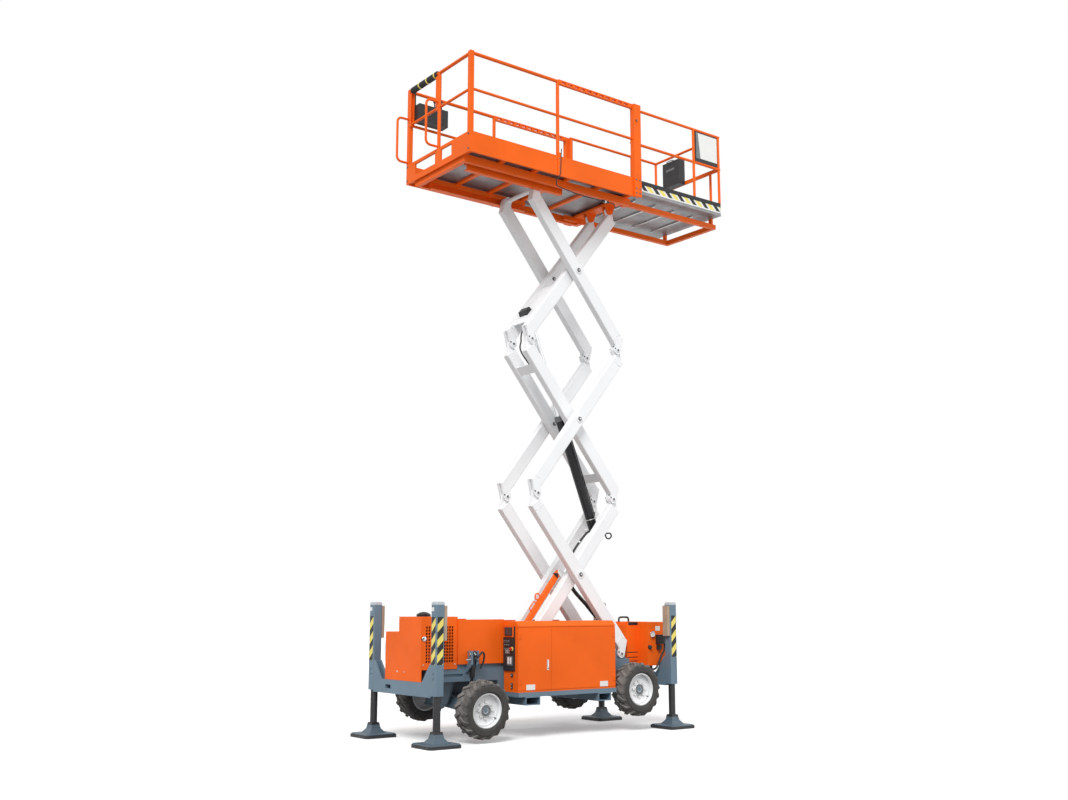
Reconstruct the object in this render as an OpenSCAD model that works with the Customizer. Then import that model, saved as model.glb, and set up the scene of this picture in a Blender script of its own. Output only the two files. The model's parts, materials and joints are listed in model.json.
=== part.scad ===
// Rough-terrain scissor lift standing on four levelling legs, platform raised.
// X runs along the machine, +Y is the far side, Z is up, and Z = 0 is the ground under the pads.
// The origin lies midway between the four legs.

/* [Scissor] */
// Length of an arm between its end pins
arm_l = 2150; // [2050:10:2250]
// Angle of the arms above level
lift_angle = 55.9; // [50:0.1:60]
// Depth of an arm
arm_depth = 150; // [140:1:156]
// Width of an arm across the machine
arm_width = 90; // [84:1:96]
// Half width over the outer arms
outer_half = 335; // [330:1:340]
// Gap between an outer and an inner arm
arm_gap = 20; // [14:1:24]
// Distance of the end pins from an arm's centre line
pin_offset = 85; // [82:1:92]
// Radius of an arm's ends round their pins
lug_r = 48; // [42:1:50]
// Diameter of the end pins
pin_d = 50; // [40:1:56]
// Diameter of the middle pins
mid_pin_d = 60; // [50:1:70]
// Place of the fixed lower pins along the machine
base_x = 1090; // [1080:1:1100]
// Height of the lower pins
base_z = 830; // [826:1:850]

/* [Lift cylinder] */
// Diameter of the lift cylinder's barrel
barrel_d = 114; // [100:1:120]
// Diameter of the lift cylinder's rod
lift_rod_d = 64; // [50:1:70]
// Length of the barrel from its eye to its mouth
barrel_l = 1412; // [1380:1:1430]

/* [Legs] */
// Half distance between the legs along the machine
column_x = 1593; // [1585:1:1620]
// Half distance between the legs across the machine
column_y = 623; // [618:1:640]
// Width of a leg's square column
column_w = 100; // [96:1:104]
// Wall of the column
column_wall = 9; // [6:1:10]
// Height of the column's foot
column_z0 = 489; // [480:1:500]
// Height of the column's top
column_z1 = 1412; // [1380:1:1420]
// Diameter of the leg's rod
leg_rod_d = 76; // [60:1:78]
// Width of the square foot pad
pad_w = 380; // [340:5:400]
// Thickness of the pad's plate
pad_t = 42; // [30:1:50]
// Height of the pad's cone with its plate
pad_h = 150; // [130:1:160]

/* [Wheels] */
// Tyre diameter over the lugs
tyre_d = 590; // [570:2:600]
// Tyre width
tyre_w = 228; // [210:2:232]
// Rim diameter
rim_d = 353; // [330:1:370]
// Half track between the tyres' middle planes
wheel_y = 586; // [583:1:600]
// Place of the steered axle along the machine
front_x = -1020; // [-1030:1:-1010]
// Height of the steered axle
front_z = 380; // [376:1:390]
// Place of the fixed axle along the machine
rear_x = 1070; // [1066:1:1080]
// Height of the fixed axle
rear_z = 450; // [440:1:456]
// Sideways tilt of the steered axle
axle_roll = 4.8; // [0:0.1:5]
// Half distance between the kingpins
kingpin_y = 400; // [396:1:404]
// Kingpin diameter
kingpin_d = 40; // [30:1:44]

/* [Chassis] */
// Half width over the side rails
rail_half = 340; // [336:1:342]
// Width of a side rail
rail_w = 80; // [70:1:84]
// Height of the side rails' top
rail_z1 = 775; // [765:1:776]
// Height of the side rails' low rear top
rail_rear_z1 = 690; // [680:1:695]
// Height of the ledges' underside
ledge_z0 = 434; // [430:1:436]
// Height of the ledges' top
ledge_z1 = 480; // [476:1:484]
// Fork pocket height
pocket_h = 85; // [80:1:90]

/* [Cabinets] */
// Left end of the cabinets
cab_x0 = -600; // [-610:1:-596]
// Right end of the cabinets
cab_x1 = 740; // [730:1:744]
// Inner face of the cabinets from the middle
cab_y0 = 374; // [373:1:380]
// Outer face of the cabinets from the middle
cab_y1 = 626; // [620:1:632]
// Height of the door's top edge
cab_z1 = 1165; // [1150:1:1175]
// Height of the cabinets' roof
cab_z2 = 1210; // [1190:1:1215]
// Wall of the cabinets
cab_wall = 15; // [10:1:18]
// Thickness of a door
door_t = 20; // [18:1:24]
// Place where the two doors meet
door_split = -158; // [-200:1:-100]

/* [Engine cover] */
// Left end of the engine cover
hood_x0 = -1620; // [-1630:1:-1610]
// Right end of the engine cover
hood_x1 = -1180; // [-1190:1:-1170]
// Half width of the engine cover
hood_half = 354; // [350:1:358]
// Height of the low roof
hood_low = 1104; // [1080:1:1130]
// Height of the high roof
hood_high = 1260; // [1230:1:1270]
// Where the high roof ends across the machine
hood_step_y = 85; // [60:1:110]
// Wall of the engine cover
hood_wall = 12; // [8:1:14]

/* [Platform] */
// Half width of the platform
plat_half = 664; // [660:1:670]
// Left end of the platform
plat_x0 = -1297; // [-1310:1:-1290]
// Right end of the platform's side panels
plat_x1 = 1173; // [1165:1:1180]
// Height of the deck above the top pins
deck_up = 140; // [138:1:150]
// Height of the side panels' lower edge above the top pins
panel_up = 62; // [56:1:70]
// Height of the side panels
panel_h = 238; // [230:1:250]
// Height of the top rail above the deck
rail_up = 1100; // [1050:5:1150]
// Height of the middle rail above the deck
mid_up = 660; // [600:5:700]
// Diameter of the top rails
top_rail_d = 40; // [34:1:42]
// Diameter of the middle rails
mid_rail_d = 32; // [26:1:36]

/* [Roll-out deck] */
// How far the roll-out deck's end stands from the machine's middle
roll_x1 = 2700; // [2690:1:2720]
// Half width over the roll-out deck's side plates
roll_half = 600; // [596:1:602]
// Diameter of the roll-out deck's rails
roll_rail_d = 34; // [28:1:36]

/* [Hidden] */
$fn = 48;
// Overrun of cuts past the faces that they open
over = 1;
// Running clearance of a pin in its bore, on the radius
pin_clear = 0.05;
// Gap between parts that slide past each other
slip = 0.3;

blue_grey = [0.42, 0.49, 0.54];
orange = [0.95, 0.40, 0.12];
arm_white = [0.92, 0.93, 0.94];
black = [0.06, 0.06, 0.07];
rubber = [0.16, 0.15, 0.14];
chrome = [0.78, 0.80, 0.82];
tan = [0.68, 0.60, 0.52];
steel = [0.55, 0.55, 0.55];
rim_white = [0.90, 0.91, 0.93];

// Scissor places
arm_span = arm_l * cos(lift_angle);
arm_rise = arm_l * sin(lift_angle);
left_x = base_x - arm_span;
mid_x = base_x - arm_span / 2;
body_tilt = asin(2 * pin_offset / arm_l);
body_angle = lift_angle - body_tilt;
pin_reach = arm_l / 2 * cos(body_tilt);
lug_gap = 65;
body_half = pin_reach - lug_gap;
arm_round = 12;
outer_y = outer_half - arm_width / 2;
inner_y = outer_y - arm_width - arm_gap;
inner_half = inner_y + arm_width / 2;
inner_face = inner_y - arm_width / 2;
tang_w = 34;
fork_gap = 2;
pin_head_t = 6;
cap_d = 84;
cap_gap = 1;
washer_d = 110;
pz = base_z + 3 * arm_rise;

// Plates between the inner beams, in the frame of their arm
plate_t = 14;
inner1_plate_x = [-100, -20];
inner1_plate_z = [10, 24];
inner2_plate_x = 770;
inner2_plate_l = 110;
inner3_plate_x = [-900, -250];
inner3_plate_z = [40, 54];

// Lower slide: rollers of the first inner arm in the chassis tracks
roller_d = 50;
roller_w = 38;
track_wall = 8;
track_gap = 5;
track_y1 = inner_face - track_gap;
track_y0 = track_y1 - roller_w - track_wall;
track_x0 = -1135;
track_x1 = 120;

// Cylinder places, in the frame of the arm that carries each eye
barrel_eye = [720, -40];
rod_eye = [-800, -75];
eye_tube_d = 60;
eye_r = 54;
eye_w = 56;
rod_eye_r = 44;
rod_eye_w = 56;
ear_t = 20;
ear_gap = 6;
rod_in_barrel = 360;
barrel_floor = 70;

// Prop places, in the frame of the first inner arm
prop_pivot = [-60, 118];
prop_l = 900;
prop_w = 46;
prop_d = 56;
prop_set = 6;
prop_ear_t = 14;
prop_y = inner_face - prop_set - prop_ear_t - slip - prop_w / 2;
prop_pin_d = 24;

function along(a, p) = [p[0] * cos(a) - p[1] * sin(a), p[0] * sin(a) + p[1] * cos(a)];
function mid_z(k) = base_z + (k - 0.5) * arm_rise;
function slash_at(k, p) = [mid_x, mid_z(k)] + along(body_angle, p);
function tangent(p, c, r, turn) =
    let (v = p - c, a = atan2(v[1], v[0]), b = acos(r / norm(v)))
    c + r * [cos(a + turn * b), sin(a + turn * b)];

barrel_pos = slash_at(1, barrel_eye);
rod_pos = slash_at(3, rod_eye);
lift_vec = rod_pos - barrel_pos;
lift_len = norm(lift_vec);
lift_dir = atan2(lift_vec[1], lift_vec[0]);

// Chassis places
end_x = column_x - column_w / 2;
rail_front_z0 = 600;
rail_rear_z0 = 560;
rail_slope = 60;
rail_step_x = 1200;
groove_x1 = -1100;
groove_h = 26;
groove_d = 25;
rail_plate_t = 20;
rail_plate_w = 120;
beam_z0 = 472;
beam_z1 = 612;
beam_w = 90;
gusset_z = 800;
gusset_y = 170;
gusset_t = 20;
slot_y = 260;
slot_w = 110;
slot_h = 40;
cap_h = 22;
cap_edge = 7;
guide_h = 60;
leg_in = 350;
pad_round = 45;
pad_edge = 12;
pad_block_w = 195;
pad_waist_w = 112;
pad_waist_z = 90;
cover_t = 35;
cover_w = 80;
cover_z0 = 1030;
cover_z1 = 1372;
cross_w = 80;
cross_z0 = 610;
engine_seat_z = 640;
pocket_wall = 9;
pocket_left = [-510, -320];
pocket_right = [480, 660];
ledge_half = 640;
bracket_foot = 90;
pivot_plate_t = 20;
pivot_plate_w = 220;
pivot_drop_share = 0.33;
pivot_gap = 95;
pivot_d = 60;

// Axle places
beam_half = 330;
axle_box = 120;
yoke_t = 20;
yoke_z = 74;
yoke_w = 100;
yoke_end = 44;
yoke_y1 = kingpin_y + yoke_end;
knuckle_h = 70;
knuckle_w = 80;
spindle_d = 50;
hub_in = 30;
hub_out = 64;
arm_back = 170;
arm_bar = 32;
tie_pin_d = 24;
tie_eye_d = 52;
tie_eye_t = 28;
// Tread: lugs on a smooth carcass, their outer corners at the tyre's diameter
shoulder = 34;
bead = 20;
lug_h = 20;
lug_w = 34;
lug_count = 18;
lug_slant = 33;
lug_sink = 12;
lug_gap_mid = 4;
lug_stagger_share = 0.5;
tread_r = tyre_d / 2 - lug_h;
lug_l = (tyre_w - lug_w * sin(lug_slant)) / 2 / cos(lug_slant);
lug_corner = (lug_l * sin(lug_slant) + lug_w * cos(lug_slant)) / 2;
lug_top = sqrt(pow(tyre_d / 2, 2) - pow(lug_corner, 2));

rim_t = 16;
flange = 20;
rim_set = 46;
hub_d = 130;
stud_circle = 165;
stud_d = 18;
stud_count = 8;
rear_beam = 100;
saddle_w = 100;
ram_d = 52;
ram_rod_d = 30;
ram_eye_d = 48;
ram_y = 424;
ram_eye_z = 880;
ram_rod_share = 0.4;
ram_post_y = 450;
ram_post_z = 690;
ram_top = 912;
ear_y = 360;
ear_up = 34;

// Cabinet places
door_gap = 8;
door_rim = 3;
door_pin_d = 10;
door_pin_l = 12;
door_y = cab_y1 - door_t / 2;
door_z = [ledge_z1 + cab_wall + door_rim, cab_z1 - cab_wall - door_rim];
door_axis_x = [cab_x0 + door_t / 2, cab_x1 - door_t / 2];
bevel = 45;
panel_t = 12;
panel_y = [384, 574];
panel_z = [700, 1160];
gear_gap = 20;
tank_h = 180;
pump_drop = 180;

// Engine cover places
grille_set = [58, 45];
grille_x = [hood_x0 + grille_set[0], hood_x1 - grille_set[1]];
grille_z = [800, 1175];
grille_pitch = 31;
grille_hole = 22;
hood_side_z = 730;
engine_top = 1050;
engine_gap = [3, 43];
engine_x = [-end_x + engine_gap[0], hood_x1 - hood_wall - engine_gap[1]];
engine_half = rail_half - rail_plate_w - gear_gap;
dome_d = 150;
dome_h = 50;
dome_x = (hood_x0 + hood_x1) / 2;
dome_share = 0.75;
dome_y = -40;

// Well panel and rear box places
well_y = [355, 370];
well_z1 = 1230;
well_flange = 60;
well_sheet = 12;
rear_box_x = [1215, 1680];
rear_box_half = 280;
rear_box_z1 = 1185;
valve_x = 1390;
valve_y = 450;
box_round = 30;

// Platform places
deck_t = 25;
joist_h = 30;
joist_w = 50;
joist_count = 6;
side_beam_y = [462, 512];
side_beam_x = [-1268, 1160];
panel_t2 = 20;
post_w = 50;
foot_t = 8;
mid_post_x = -61;
mid_post_d = 40;
end_post_x = [1084, 1195];
end_post_t = 26;
top_track_gap = 4;
top_track_w = 56;
top_track_y = [outer_half + top_track_gap, outer_half + top_track_gap + top_track_w];
top_track_wall = 8;
top_track_x = [-1150, 200];
top_roller_d = 60;
clevis_up = 60;
clevis_foot = 75;
window_z = [70, 200];
window_far = [40, 470];
window_near = [-300, -80];
hoop_d = 28;
hoop_out = 150;
hoop_round = 60;
ladder_h = 56;
ladder_t = 34;
ladder_pitch = 96;
ladder_slot = [64, 22];
console_l = 400;
console_x0 = plat_x0 + post_w + foot_t;
console_x = [console_x0, console_x0 + console_l];
console_y = 490;
console_z = [690, 900];
sleeve_d = 74;
sleeve_y = [40, 590];
rail_set = 24;
rail_y = plat_half - rail_set;
guide_w = 26;
entry_lift = 350;
hoop_low = 24;
hoop_high = 565;
deck_z = pz + deck_up;
joist_z = [deck_z - deck_t - joist_h, deck_z - deck_t];
panel_z0 = pz + panel_up;
panel_z1 = panel_z0 + panel_h;
top_z = deck_z + rail_up - top_rail_d / 2;
mid_rail_z = deck_z + mid_up;
corner_x = plat_x0 + post_w / 2;
hoop_z = [panel_z1 + hoop_low, panel_z1 + hoop_high];

// Roll-out places
roll_post_x = [1135, 2190, 2640];
roll_sheet_t = 20;
roll_gap = 8;
roll_plate_t = 20;
roll_plate_h = 170;
roll_plate_x0 = 1110;
roll_sheet_x0 = 1000;
under_y = [405, 455];
under_z = [19, 78];
under_x0 = 880;
riser_t = 30;
roll_mid_up = 640;
shoe_l = 60;
end_rail_h = 50;
end_post_y = 440;
case_y = [20, 330];
case_z = [615, 960];
case_t = 110;
sign_gap = 30;
sign_t = 16;
roll_z = deck_z + roll_gap;
roll_plate_z = [roll_z - foot_t / 4, roll_z + roll_plate_h];
roll_end = roll_x1 - joist_w;

// Box between two corners
module span(x, y, z) {
    translate([x[0], y[0], z[0]]) cube([x[1] - x[0], y[1] - y[0], z[1] - z[0]]);
}

// A part drawn on the far side, copied to the near side
module both_sides() {
    children();
    mirror([0, 1, 0]) children();
}

// A part drawn on the far side, placed on side 1 (far) or -1 (near)
module on_side(s) {
    mirror([0, s < 0 ? 1 : 0, 0]) children();
}

// A part drawn at the rear, placed at end 1 (rear) or -1 (front)
module on_end(s) {
    mirror([s < 0 ? 1 : 0, 0, 0]) children();
}

// Round bars along each axis
module bar_x(x, y, z, d) {
    translate([x[0], y, z]) rotate([0, 90, 0]) cylinder(d = d, h = x[1] - x[0]);
}
module bar_y(x, y, z, d) {
    translate([x, y[0], z]) rotate([-90, 0, 0]) cylinder(d = d, h = y[1] - y[0]);
}
module bar_z(x, y, z, d) {
    translate([x, y, z[0]]) cylinder(d = d, h = z[1] - z[0]);
}

// An outline in X and Z, drawn out across the machine
module across(y) {
    translate([0, y[1], 0]) rotate([90, 0, 0]) linear_extrude(y[1] - y[0]) children();
}

// An outline in Y and Z, drawn out along the machine
module lengthways(x) {
    translate([x[0], 0, 0]) rotate([90, 0, 90]) linear_extrude(x[1] - x[0]) children();
}

module rounded_rect(w, h, r) {
    square([w - 2 * r, h], center = true);
    square([w, h - 2 * r], center = true);
    for (sx = [-1, 1], sy = [-1, 1]) {
        translate([sx * (w / 2 - r), sy * (h / 2 - r)]) circle(r);
    }
}

// Arm shapes, in a frame with its origin at the middle pin and X along the arm's body
module lug_outline() {
    pin = [pin_reach, pin_offset];
    near = [body_half, arm_depth / 2];
    far = [body_half, -arm_depth / 2];
    translate(pin) circle(lug_r);
    polygon([
        near - [arm_round, 0], near, tangent(near, pin, lug_r, -1), pin,
        tangent(far, pin, lug_r, 1), far, far - [arm_round, 0]
    ]);
}

module tang_end() {
    across([-tang_w / 2, tang_w / 2]) difference() {
        lug_outline();
        translate([pin_reach, pin_offset]) circle(d = pin_d + 2 * pin_clear);
    }
}

module fork_end() {
    for (s = [0, 1]) mirror([0, s, 0]) across([tang_w / 2 + fork_gap, arm_width / 2]) lug_outline();
    bar_y(pin_reach, [-arm_width / 2 - pin_head_t, arm_width / 2 + pin_head_t], pin_offset, pin_d);
}

module arm_body() {
    rotate([0, 90, 0]) linear_extrude(2 * body_half, center = true)
        rounded_rect(arm_depth, arm_width, arm_round);
}

// One beam: its upper end is a tang and its lower end a fork
module arm_beam() {
    arm_body();
    tang_end();
    rotate([0, 180, 0]) fork_end();
}

// Places what is drawn in an arm's frame on the arm of level k that leans right (1) or left (-1)
module at_arm(k, lean) {
    translate([mid_x, 0, mid_z(k)]) mirror([lean < 0 ? 1 : 0, 0, 0]) rotate([0, -body_angle, 0]) children();
}

module outer_beams() {
    both_sides() difference() {
        translate([0, outer_y, 0]) arm_beam();
        bar_y(0, [outer_y - arm_width, outer_y + arm_width], 0, mid_pin_d + 2 * pin_clear);
    }
}

module inner_beams() {
    both_sides() {
        translate([0, inner_y, 0]) arm_beam();
        inner_mid_pin();
    }
}

module inner_mid_pin() {
    bar_y(0, [inner_y, outer_half + cap_gap + pin_head_t], 0, mid_pin_d);
    bar_y(0, [outer_half + cap_gap, outer_half + cap_gap + pin_head_t], 0, cap_d);
    bar_y(0, [inner_half - over, inner_half + arm_gap - cap_gap], 0, washer_d);
}

module cross_plate(x, z) {
    span(x, [-inner_face - over, inner_face + over], z);
}

module outer_arm_1() {
    color(arm_white) at_arm(1, -1) outer_beams();
}

module inner_arm_1() {
    color(arm_white) at_arm(1, 1) {
        both_sides() {
            translate([0, inner_y, 0]) {
                arm_body();
                tang_end();
            }
            inner_mid_pin();
            roller_end();
        }
        cross_plate(inner1_plate_x, inner1_plate_z);
        bar_y(barrel_eye[0], [-inner_face - over, inner_face + over], barrel_eye[1], eye_tube_d);
        prop_mount();
    }
}

// Lower end of the first inner arm, with its roller inboard
module roller_end() {
    translate([0, inner_y, 0]) across([-arm_width / 2, arm_width / 2]) rotate(180) lug_outline();
    bar_y(-pin_reach, [track_y1 - roller_w / 2, inner_y], -pin_offset, roller_d - 2 * track_wall);
    bar_y(-pin_reach, [track_y0 + track_wall + slip, track_y1 - slip], -pin_offset, roller_d);
}

// Pin of the prop on the near inner beam
module prop_mount() {
    ear = [-inner_face + prop_set, -inner_face + prop_set + prop_ear_t];
    across(ear) prop_ear();
    span([prop_pivot[0] - prop_d, prop_pivot[0] + prop_d], [-inner_face - over, ear[0] + over],
        [0, arm_depth / 2 - arm_round]);
    bar_y(prop_pivot[0], [ear[0], -prop_y + prop_w / 2 + pin_head_t], prop_pivot[1], prop_pin_d);
}

module prop_ear() {
    translate(prop_pivot) circle(d = prop_d);
    polygon([
        [prop_pivot[0] - prop_d, 0], [prop_pivot[0] + prop_d, 0],
        prop_pivot + [prop_d / 2, 0], prop_pivot - [prop_d / 2, 0]
    ]);
}

module outer_arm_2() {
    color(arm_white) at_arm(2, 1) outer_beams();
}

module inner_arm_2() {
    color(arm_white) at_arm(2, -1) {
        inner_beams();
        for (s = [-1, 1]) {
            x = s * inner2_plate_x;
            cross_plate([x - inner2_plate_l / 2, x + inner2_plate_l / 2],
                [-arm_depth / 2 + arm_round, -arm_depth / 2 + arm_round + plate_t]);
        }
    }
}

module outer_arm_3() {
    color(arm_white) at_arm(3, -1) {
        difference() {
            both_sides() translate([0, outer_y, 0]) {
                arm_body();
                across([-arm_width / 2, arm_width / 2]) lug_outline();
                rotate([0, 180, 0]) fork_end();
            }
            bar_y(0, [-outer_half - over, outer_half + over], 0, mid_pin_d + 2 * pin_clear);
        }
        bar_y(pin_reach, [-top_track_y[0], top_track_y[0]], pin_offset, pin_d);
        both_sides() bar_y(pin_reach,
            [top_track_y[0] - over, top_track_y[1] - top_track_wall - slip], pin_offset, top_roller_d);
    }
}

module inner_arm_3() {
    color(arm_white) at_arm(3, 1) {
        inner_beams();
        cross_plate(inner3_plate_x, inner3_plate_z);
        both_sides() rod_ear();
    }
}

// Ears that carry the lift rod's pin
module rod_ear() {
    y = rod_eye_w / 2 + ear_gap;
    across([y, y + ear_t]) {
        translate(rod_eye) circle(rod_eye_r);
        polygon([
            rod_eye - [rod_eye_r, 0], rod_eye + [rod_eye_r, 0],
            [rod_eye[0] + 2 * rod_eye_r, inner3_plate_z[0] + over],
            [rod_eye[0] - 2 * rod_eye_r, inner3_plate_z[0] + over]
        ]);
    }
    bar_y(rod_eye[0], [y, y + ear_t + pin_head_t], rod_eye[1], pin_d);
}

// Lift cylinder, drawn along X from its lower eye
module at_lift() {
    translate([barrel_pos[0], 0, barrel_pos[1]]) rotate([0, -lift_dir, 0]) children();
}

module lift_barrel() {
    color(black) at_lift() difference() {
        union() {
            bar_y(0, [-eye_w / 2, eye_w / 2], 0, 2 * eye_r);
            bar_x([0, barrel_l], 0, 0, barrel_d);
        }
        bar_y(0, [-barrel_d, barrel_d], 0, eye_tube_d + 2 * pin_clear);
        bar_x([barrel_floor, barrel_l + over], 0, 0, lift_rod_d + 2 * pin_clear);
        for (s = [-1, 1]) span([-barrel_d, eye_r], s > 0 ? [eye_w / 2, barrel_d] : [-barrel_d, -eye_w / 2],
            [-barrel_d, barrel_d]);
    }
}

module lift_rod() {
    color(chrome) at_lift() {
        bar_x([barrel_l - rod_in_barrel, lift_len], 0, 0, lift_rod_d);
        bar_y(lift_len, [-rod_eye_w / 2, rod_eye_w / 2], 0, 2 * rod_eye_r);
    }
}

module safety_prop() {
    color(orange) at_arm(1, 1) translate([prop_pivot[0], -prop_y, prop_pivot[1]]) difference() {
        union() {
            bar_y(0, [-prop_w / 2, prop_w / 2], 0, prop_d);
            span([-prop_l, 0], [-prop_w / 2, prop_w / 2], [-prop_d / 2, prop_d / 2]);
        }
        bar_y(0, [-prop_w, prop_w], 0, prop_pin_d + 2 * pin_clear);
    }
}

// Chassis
module rail_outline() {
    polygon([
        [-end_x, rail_front_z0], [cab_x0 - rail_slope, rail_front_z0], [cab_x0, ledge_z0],
        [cab_x1, ledge_z0], [cab_x1 + rail_slope, rail_rear_z0], [end_x, rail_rear_z0],
        [end_x, rail_rear_z1], [rail_step_x, rail_rear_z1], [rail_step_x, rail_z1], [-end_x, rail_z1]
    ]);
}

// Side rail, grooved along the outside of its front part
module side_rail() {
    z = (rail_front_z0 + hood_side_z) / 2;
    difference() {
        across([rail_half - rail_w, rail_half]) rail_outline();
        span([-end_x - over, groove_x1], [rail_half - groove_d, rail_half + over],
            [z - groove_h / 2, z + groove_h / 2]);
    }
}

module cross_member(x, z) {
    y = rail_half - rail_w + over;
    span([x, x + cross_w], [-y, y], z);
}

module arm_bracket() {
    across([outer_y - tang_w / 2, outer_y + tang_w / 2]) difference() {
        union() {
            translate([base_x, base_z]) circle(lug_r);
            polygon([
                [base_x - bracket_foot, rail_z1 - over], [base_x + bracket_foot, rail_z1 - over],
                tangent([base_x + bracket_foot, rail_z1], [base_x, base_z], lug_r, 1),
                tangent([base_x - bracket_foot, rail_z1], [base_x, base_z], lug_r, -1)
            ]);
        }
        translate([base_x, base_z]) circle(d = pin_d + 2 * pin_clear);
    }
    span([base_x - bracket_foot, base_x + bracket_foot],
        [min(outer_y - tang_w / 2, rail_half - rail_w), max(outer_y + tang_w / 2, rail_half)],
        [rail_z1 - cross_w / 2, rail_z1]);
}

module track() {
    difference() {
        span([track_x0, track_x1], [track_y0, track_y1],
            [rail_z1 - cross_w / 2, base_z + roller_d / 2 + track_wall]);
        span([track_x0 - over, track_x1 + over], [track_y0 + track_wall, track_y1 + over],
            [base_z - roller_d / 2 - slip, base_z + roller_d / 2 + slip]);
    }
}

module fork_pocket(x) {
    z = [ledge_z0 - pocket_h, ledge_z0];
    difference() {
        span(x, [-ledge_half, ledge_half], z);
        span([x[0] + pocket_wall, x[1] - pocket_wall], [-ledge_half - over, ledge_half + over],
            [z[0] + pocket_wall, z[1] - pocket_wall]);
    }
}

module pivot_plates() {
    for (s = [-1, 1]) {
        x = front_x + s * (pivot_gap + pivot_plate_t / 2);
        difference() {
            lengthways([x - pivot_plate_t / 2, x + pivot_plate_t / 2]) polygon([
                [-pivot_plate_w / 2, front_z], [0, front_z - pivot_plate_w * pivot_drop_share],
                [pivot_plate_w / 2, front_z],
                [rail_half - rail_w + over, rail_z1 - cross_w], [-rail_half + rail_w - over, rail_z1 - cross_w]
            ]);
            bar_x([x - pivot_plate_t, x + pivot_plate_t], 0, front_z, pivot_d + 2 * pin_clear);
        }
        cross_member(x - cross_w / 2, [rail_z1 - cross_w - over, rail_z1 - cross_w / 2]);
    }
}

module chassis_frame() {
    color(blue_grey) {
        both_sides() {
            side_rail();
            for (s = [-1, 1]) {
                span(s > 0 ? [end_x - rail_plate_t, end_x] : [-end_x, -end_x + rail_plate_t],
                    [rail_half - rail_plate_w, rail_half + rail_plate_t],
                    [beam_z0, s > 0 ? rail_rear_z1 : hood_side_z]);
            }
            arm_bracket();
            track();
            span([cab_x0, cab_x1], [rail_half - over, ledge_half], [ledge_z0, ledge_z1]);
            span([rear_x - saddle_w / 2, rear_x + saddle_w / 2], [rail_half - rail_w, rail_half],
                [rear_z + rear_beam / 2, rail_rear_z0 + over]);
            ram_post();
        }
        for (x = [engine_x[0], engine_x[1] - cross_w]) cross_member(x, [cross_z0, engine_seat_z]);
        for (x = [cab_x0, (cab_x0 + cab_x1) / 2, rail_step_x - cross_w]) {
            cross_member(x, [cross_z0, rail_z1 - cross_w / 2 + over]);
        }
        fork_pocket(pocket_left);
        fork_pocket(pocket_right);
        pivot_plates();
    }
}

// Pair of plates on the rail that holds the top of the axle's ram
module ram_post() {
    for (s = [-1, 1]) {
        x = front_x + s * (ram_d / 2 + slip + rail_plate_t / 2);
        lengthways([x - rail_plate_t / 2, x + rail_plate_t / 2]) polygon([
            [rail_half - over, ram_post_z], [rail_half + rail_plate_t, ram_post_z],
            [ram_post_y, rail_z1], [ram_post_y, ram_top], [well_y[1] + foot_t, ram_top],
            [well_y[1] + foot_t, rail_z1 - slip], [rail_half - over, rail_z1 - slip]
        ]);
    }
}

// Ram from its post down to its ear on the axle, on side s
module axle_ram(s) {
    low = ear_place(s);
    high = [s * ram_y, ram_eye_z];
    v = high - low;
    translate([front_x, low[0], low[1]]) rotate([-atan2(v[0], v[1]), 0, 0]) {
        cylinder(d = ram_rod_d, h = norm(v) / 2);
        translate([0, 0, norm(v) * ram_rod_share]) cylinder(d = ram_d, h = norm(v) * (1 - ram_rod_share));
        bar_x([-ram_d / 2, ram_d / 2], 0, 0, ram_eye_d);
        bar_x([-ram_d / 2, ram_d / 2], 0, norm(v), ram_eye_d);
    }
}
function ear_place(s) =
    let (y = s * ear_y, z = yoke_z + yoke_t + ear_up)
    [y * cos(axle_roll) - z * sin(axle_roll), front_z + y * sin(axle_roll) + z * cos(axle_roll)];

module axle_rams() {
    color(black) for (s = [-1, 1]) axle_ram(s);
}

// End frame: a beam between two columns, with gussets
module column() {
    difference() {
        translate([column_x, column_y, column_z0]) {
            linear_extrude(column_z1 - cap_edge - column_z0) rounded_rect(column_w, column_w, arm_round);
            translate([0, 0, column_z1 - cap_edge - column_z0]) linear_extrude(cap_edge)
                rounded_rect(column_w - 2 * cap_edge, column_w - 2 * cap_edge, arm_round);
        }
        bar_z(column_x, column_y, [column_z0 - over, column_z0 + guide_h + over], leg_rod_d + 2 * pin_clear);
        translate([column_x, column_y, column_z0 + guide_h])
            linear_extrude(column_z1 - 2 * cap_h - column_z0 - guide_h)
                square(column_w - 2 * column_wall, center = true);
    }
}

module outrigger_frame() {
    column_in = column_y - column_w / 2;
    both_sides() {
        column();
        for (s = [-1, 1]) {
            x = column_x + s * (beam_w - gusset_t) / 2;
            lengthways([x - gusset_t / 2, x + gusset_t / 2]) polygon([
                [column_in + over, beam_z1 - over], [column_in - gusset_y, beam_z1 - over],
                [column_in - gusset_t, gusset_z], [column_in + over, gusset_z]
            ]);
        }
    }
    difference() {
        span([column_x - beam_w / 2, column_x + beam_w / 2], [-column_in - over, column_in + over],
            [beam_z0, beam_z1]);
        translate([0, slot_y, (beam_z0 + beam_z1) / 2])
            span([column_x - beam_w, column_x + beam_w], [-slot_w / 2, slot_w / 2], [-slot_h / 2, slot_h / 2]);
    }
    span([end_x, column_x - beam_w / 2 + over], [-column_in, column_in], [beam_z0, beam_z1]);
}

module outrigger_frame_left() {
    color(blue_grey) on_end(-1) outrigger_frame();
}

module outrigger_frame_right() {
    color(blue_grey) on_end(1) outrigger_frame();
}

module column_covers() {
    color(tan) both_sides() for (s = [-1, 1]) on_end(s)
        span([end_x - cover_t, end_x], [column_y - cover_w / 2, column_y + cover_w / 2], [cover_z0, cover_z1]);
}

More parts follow.
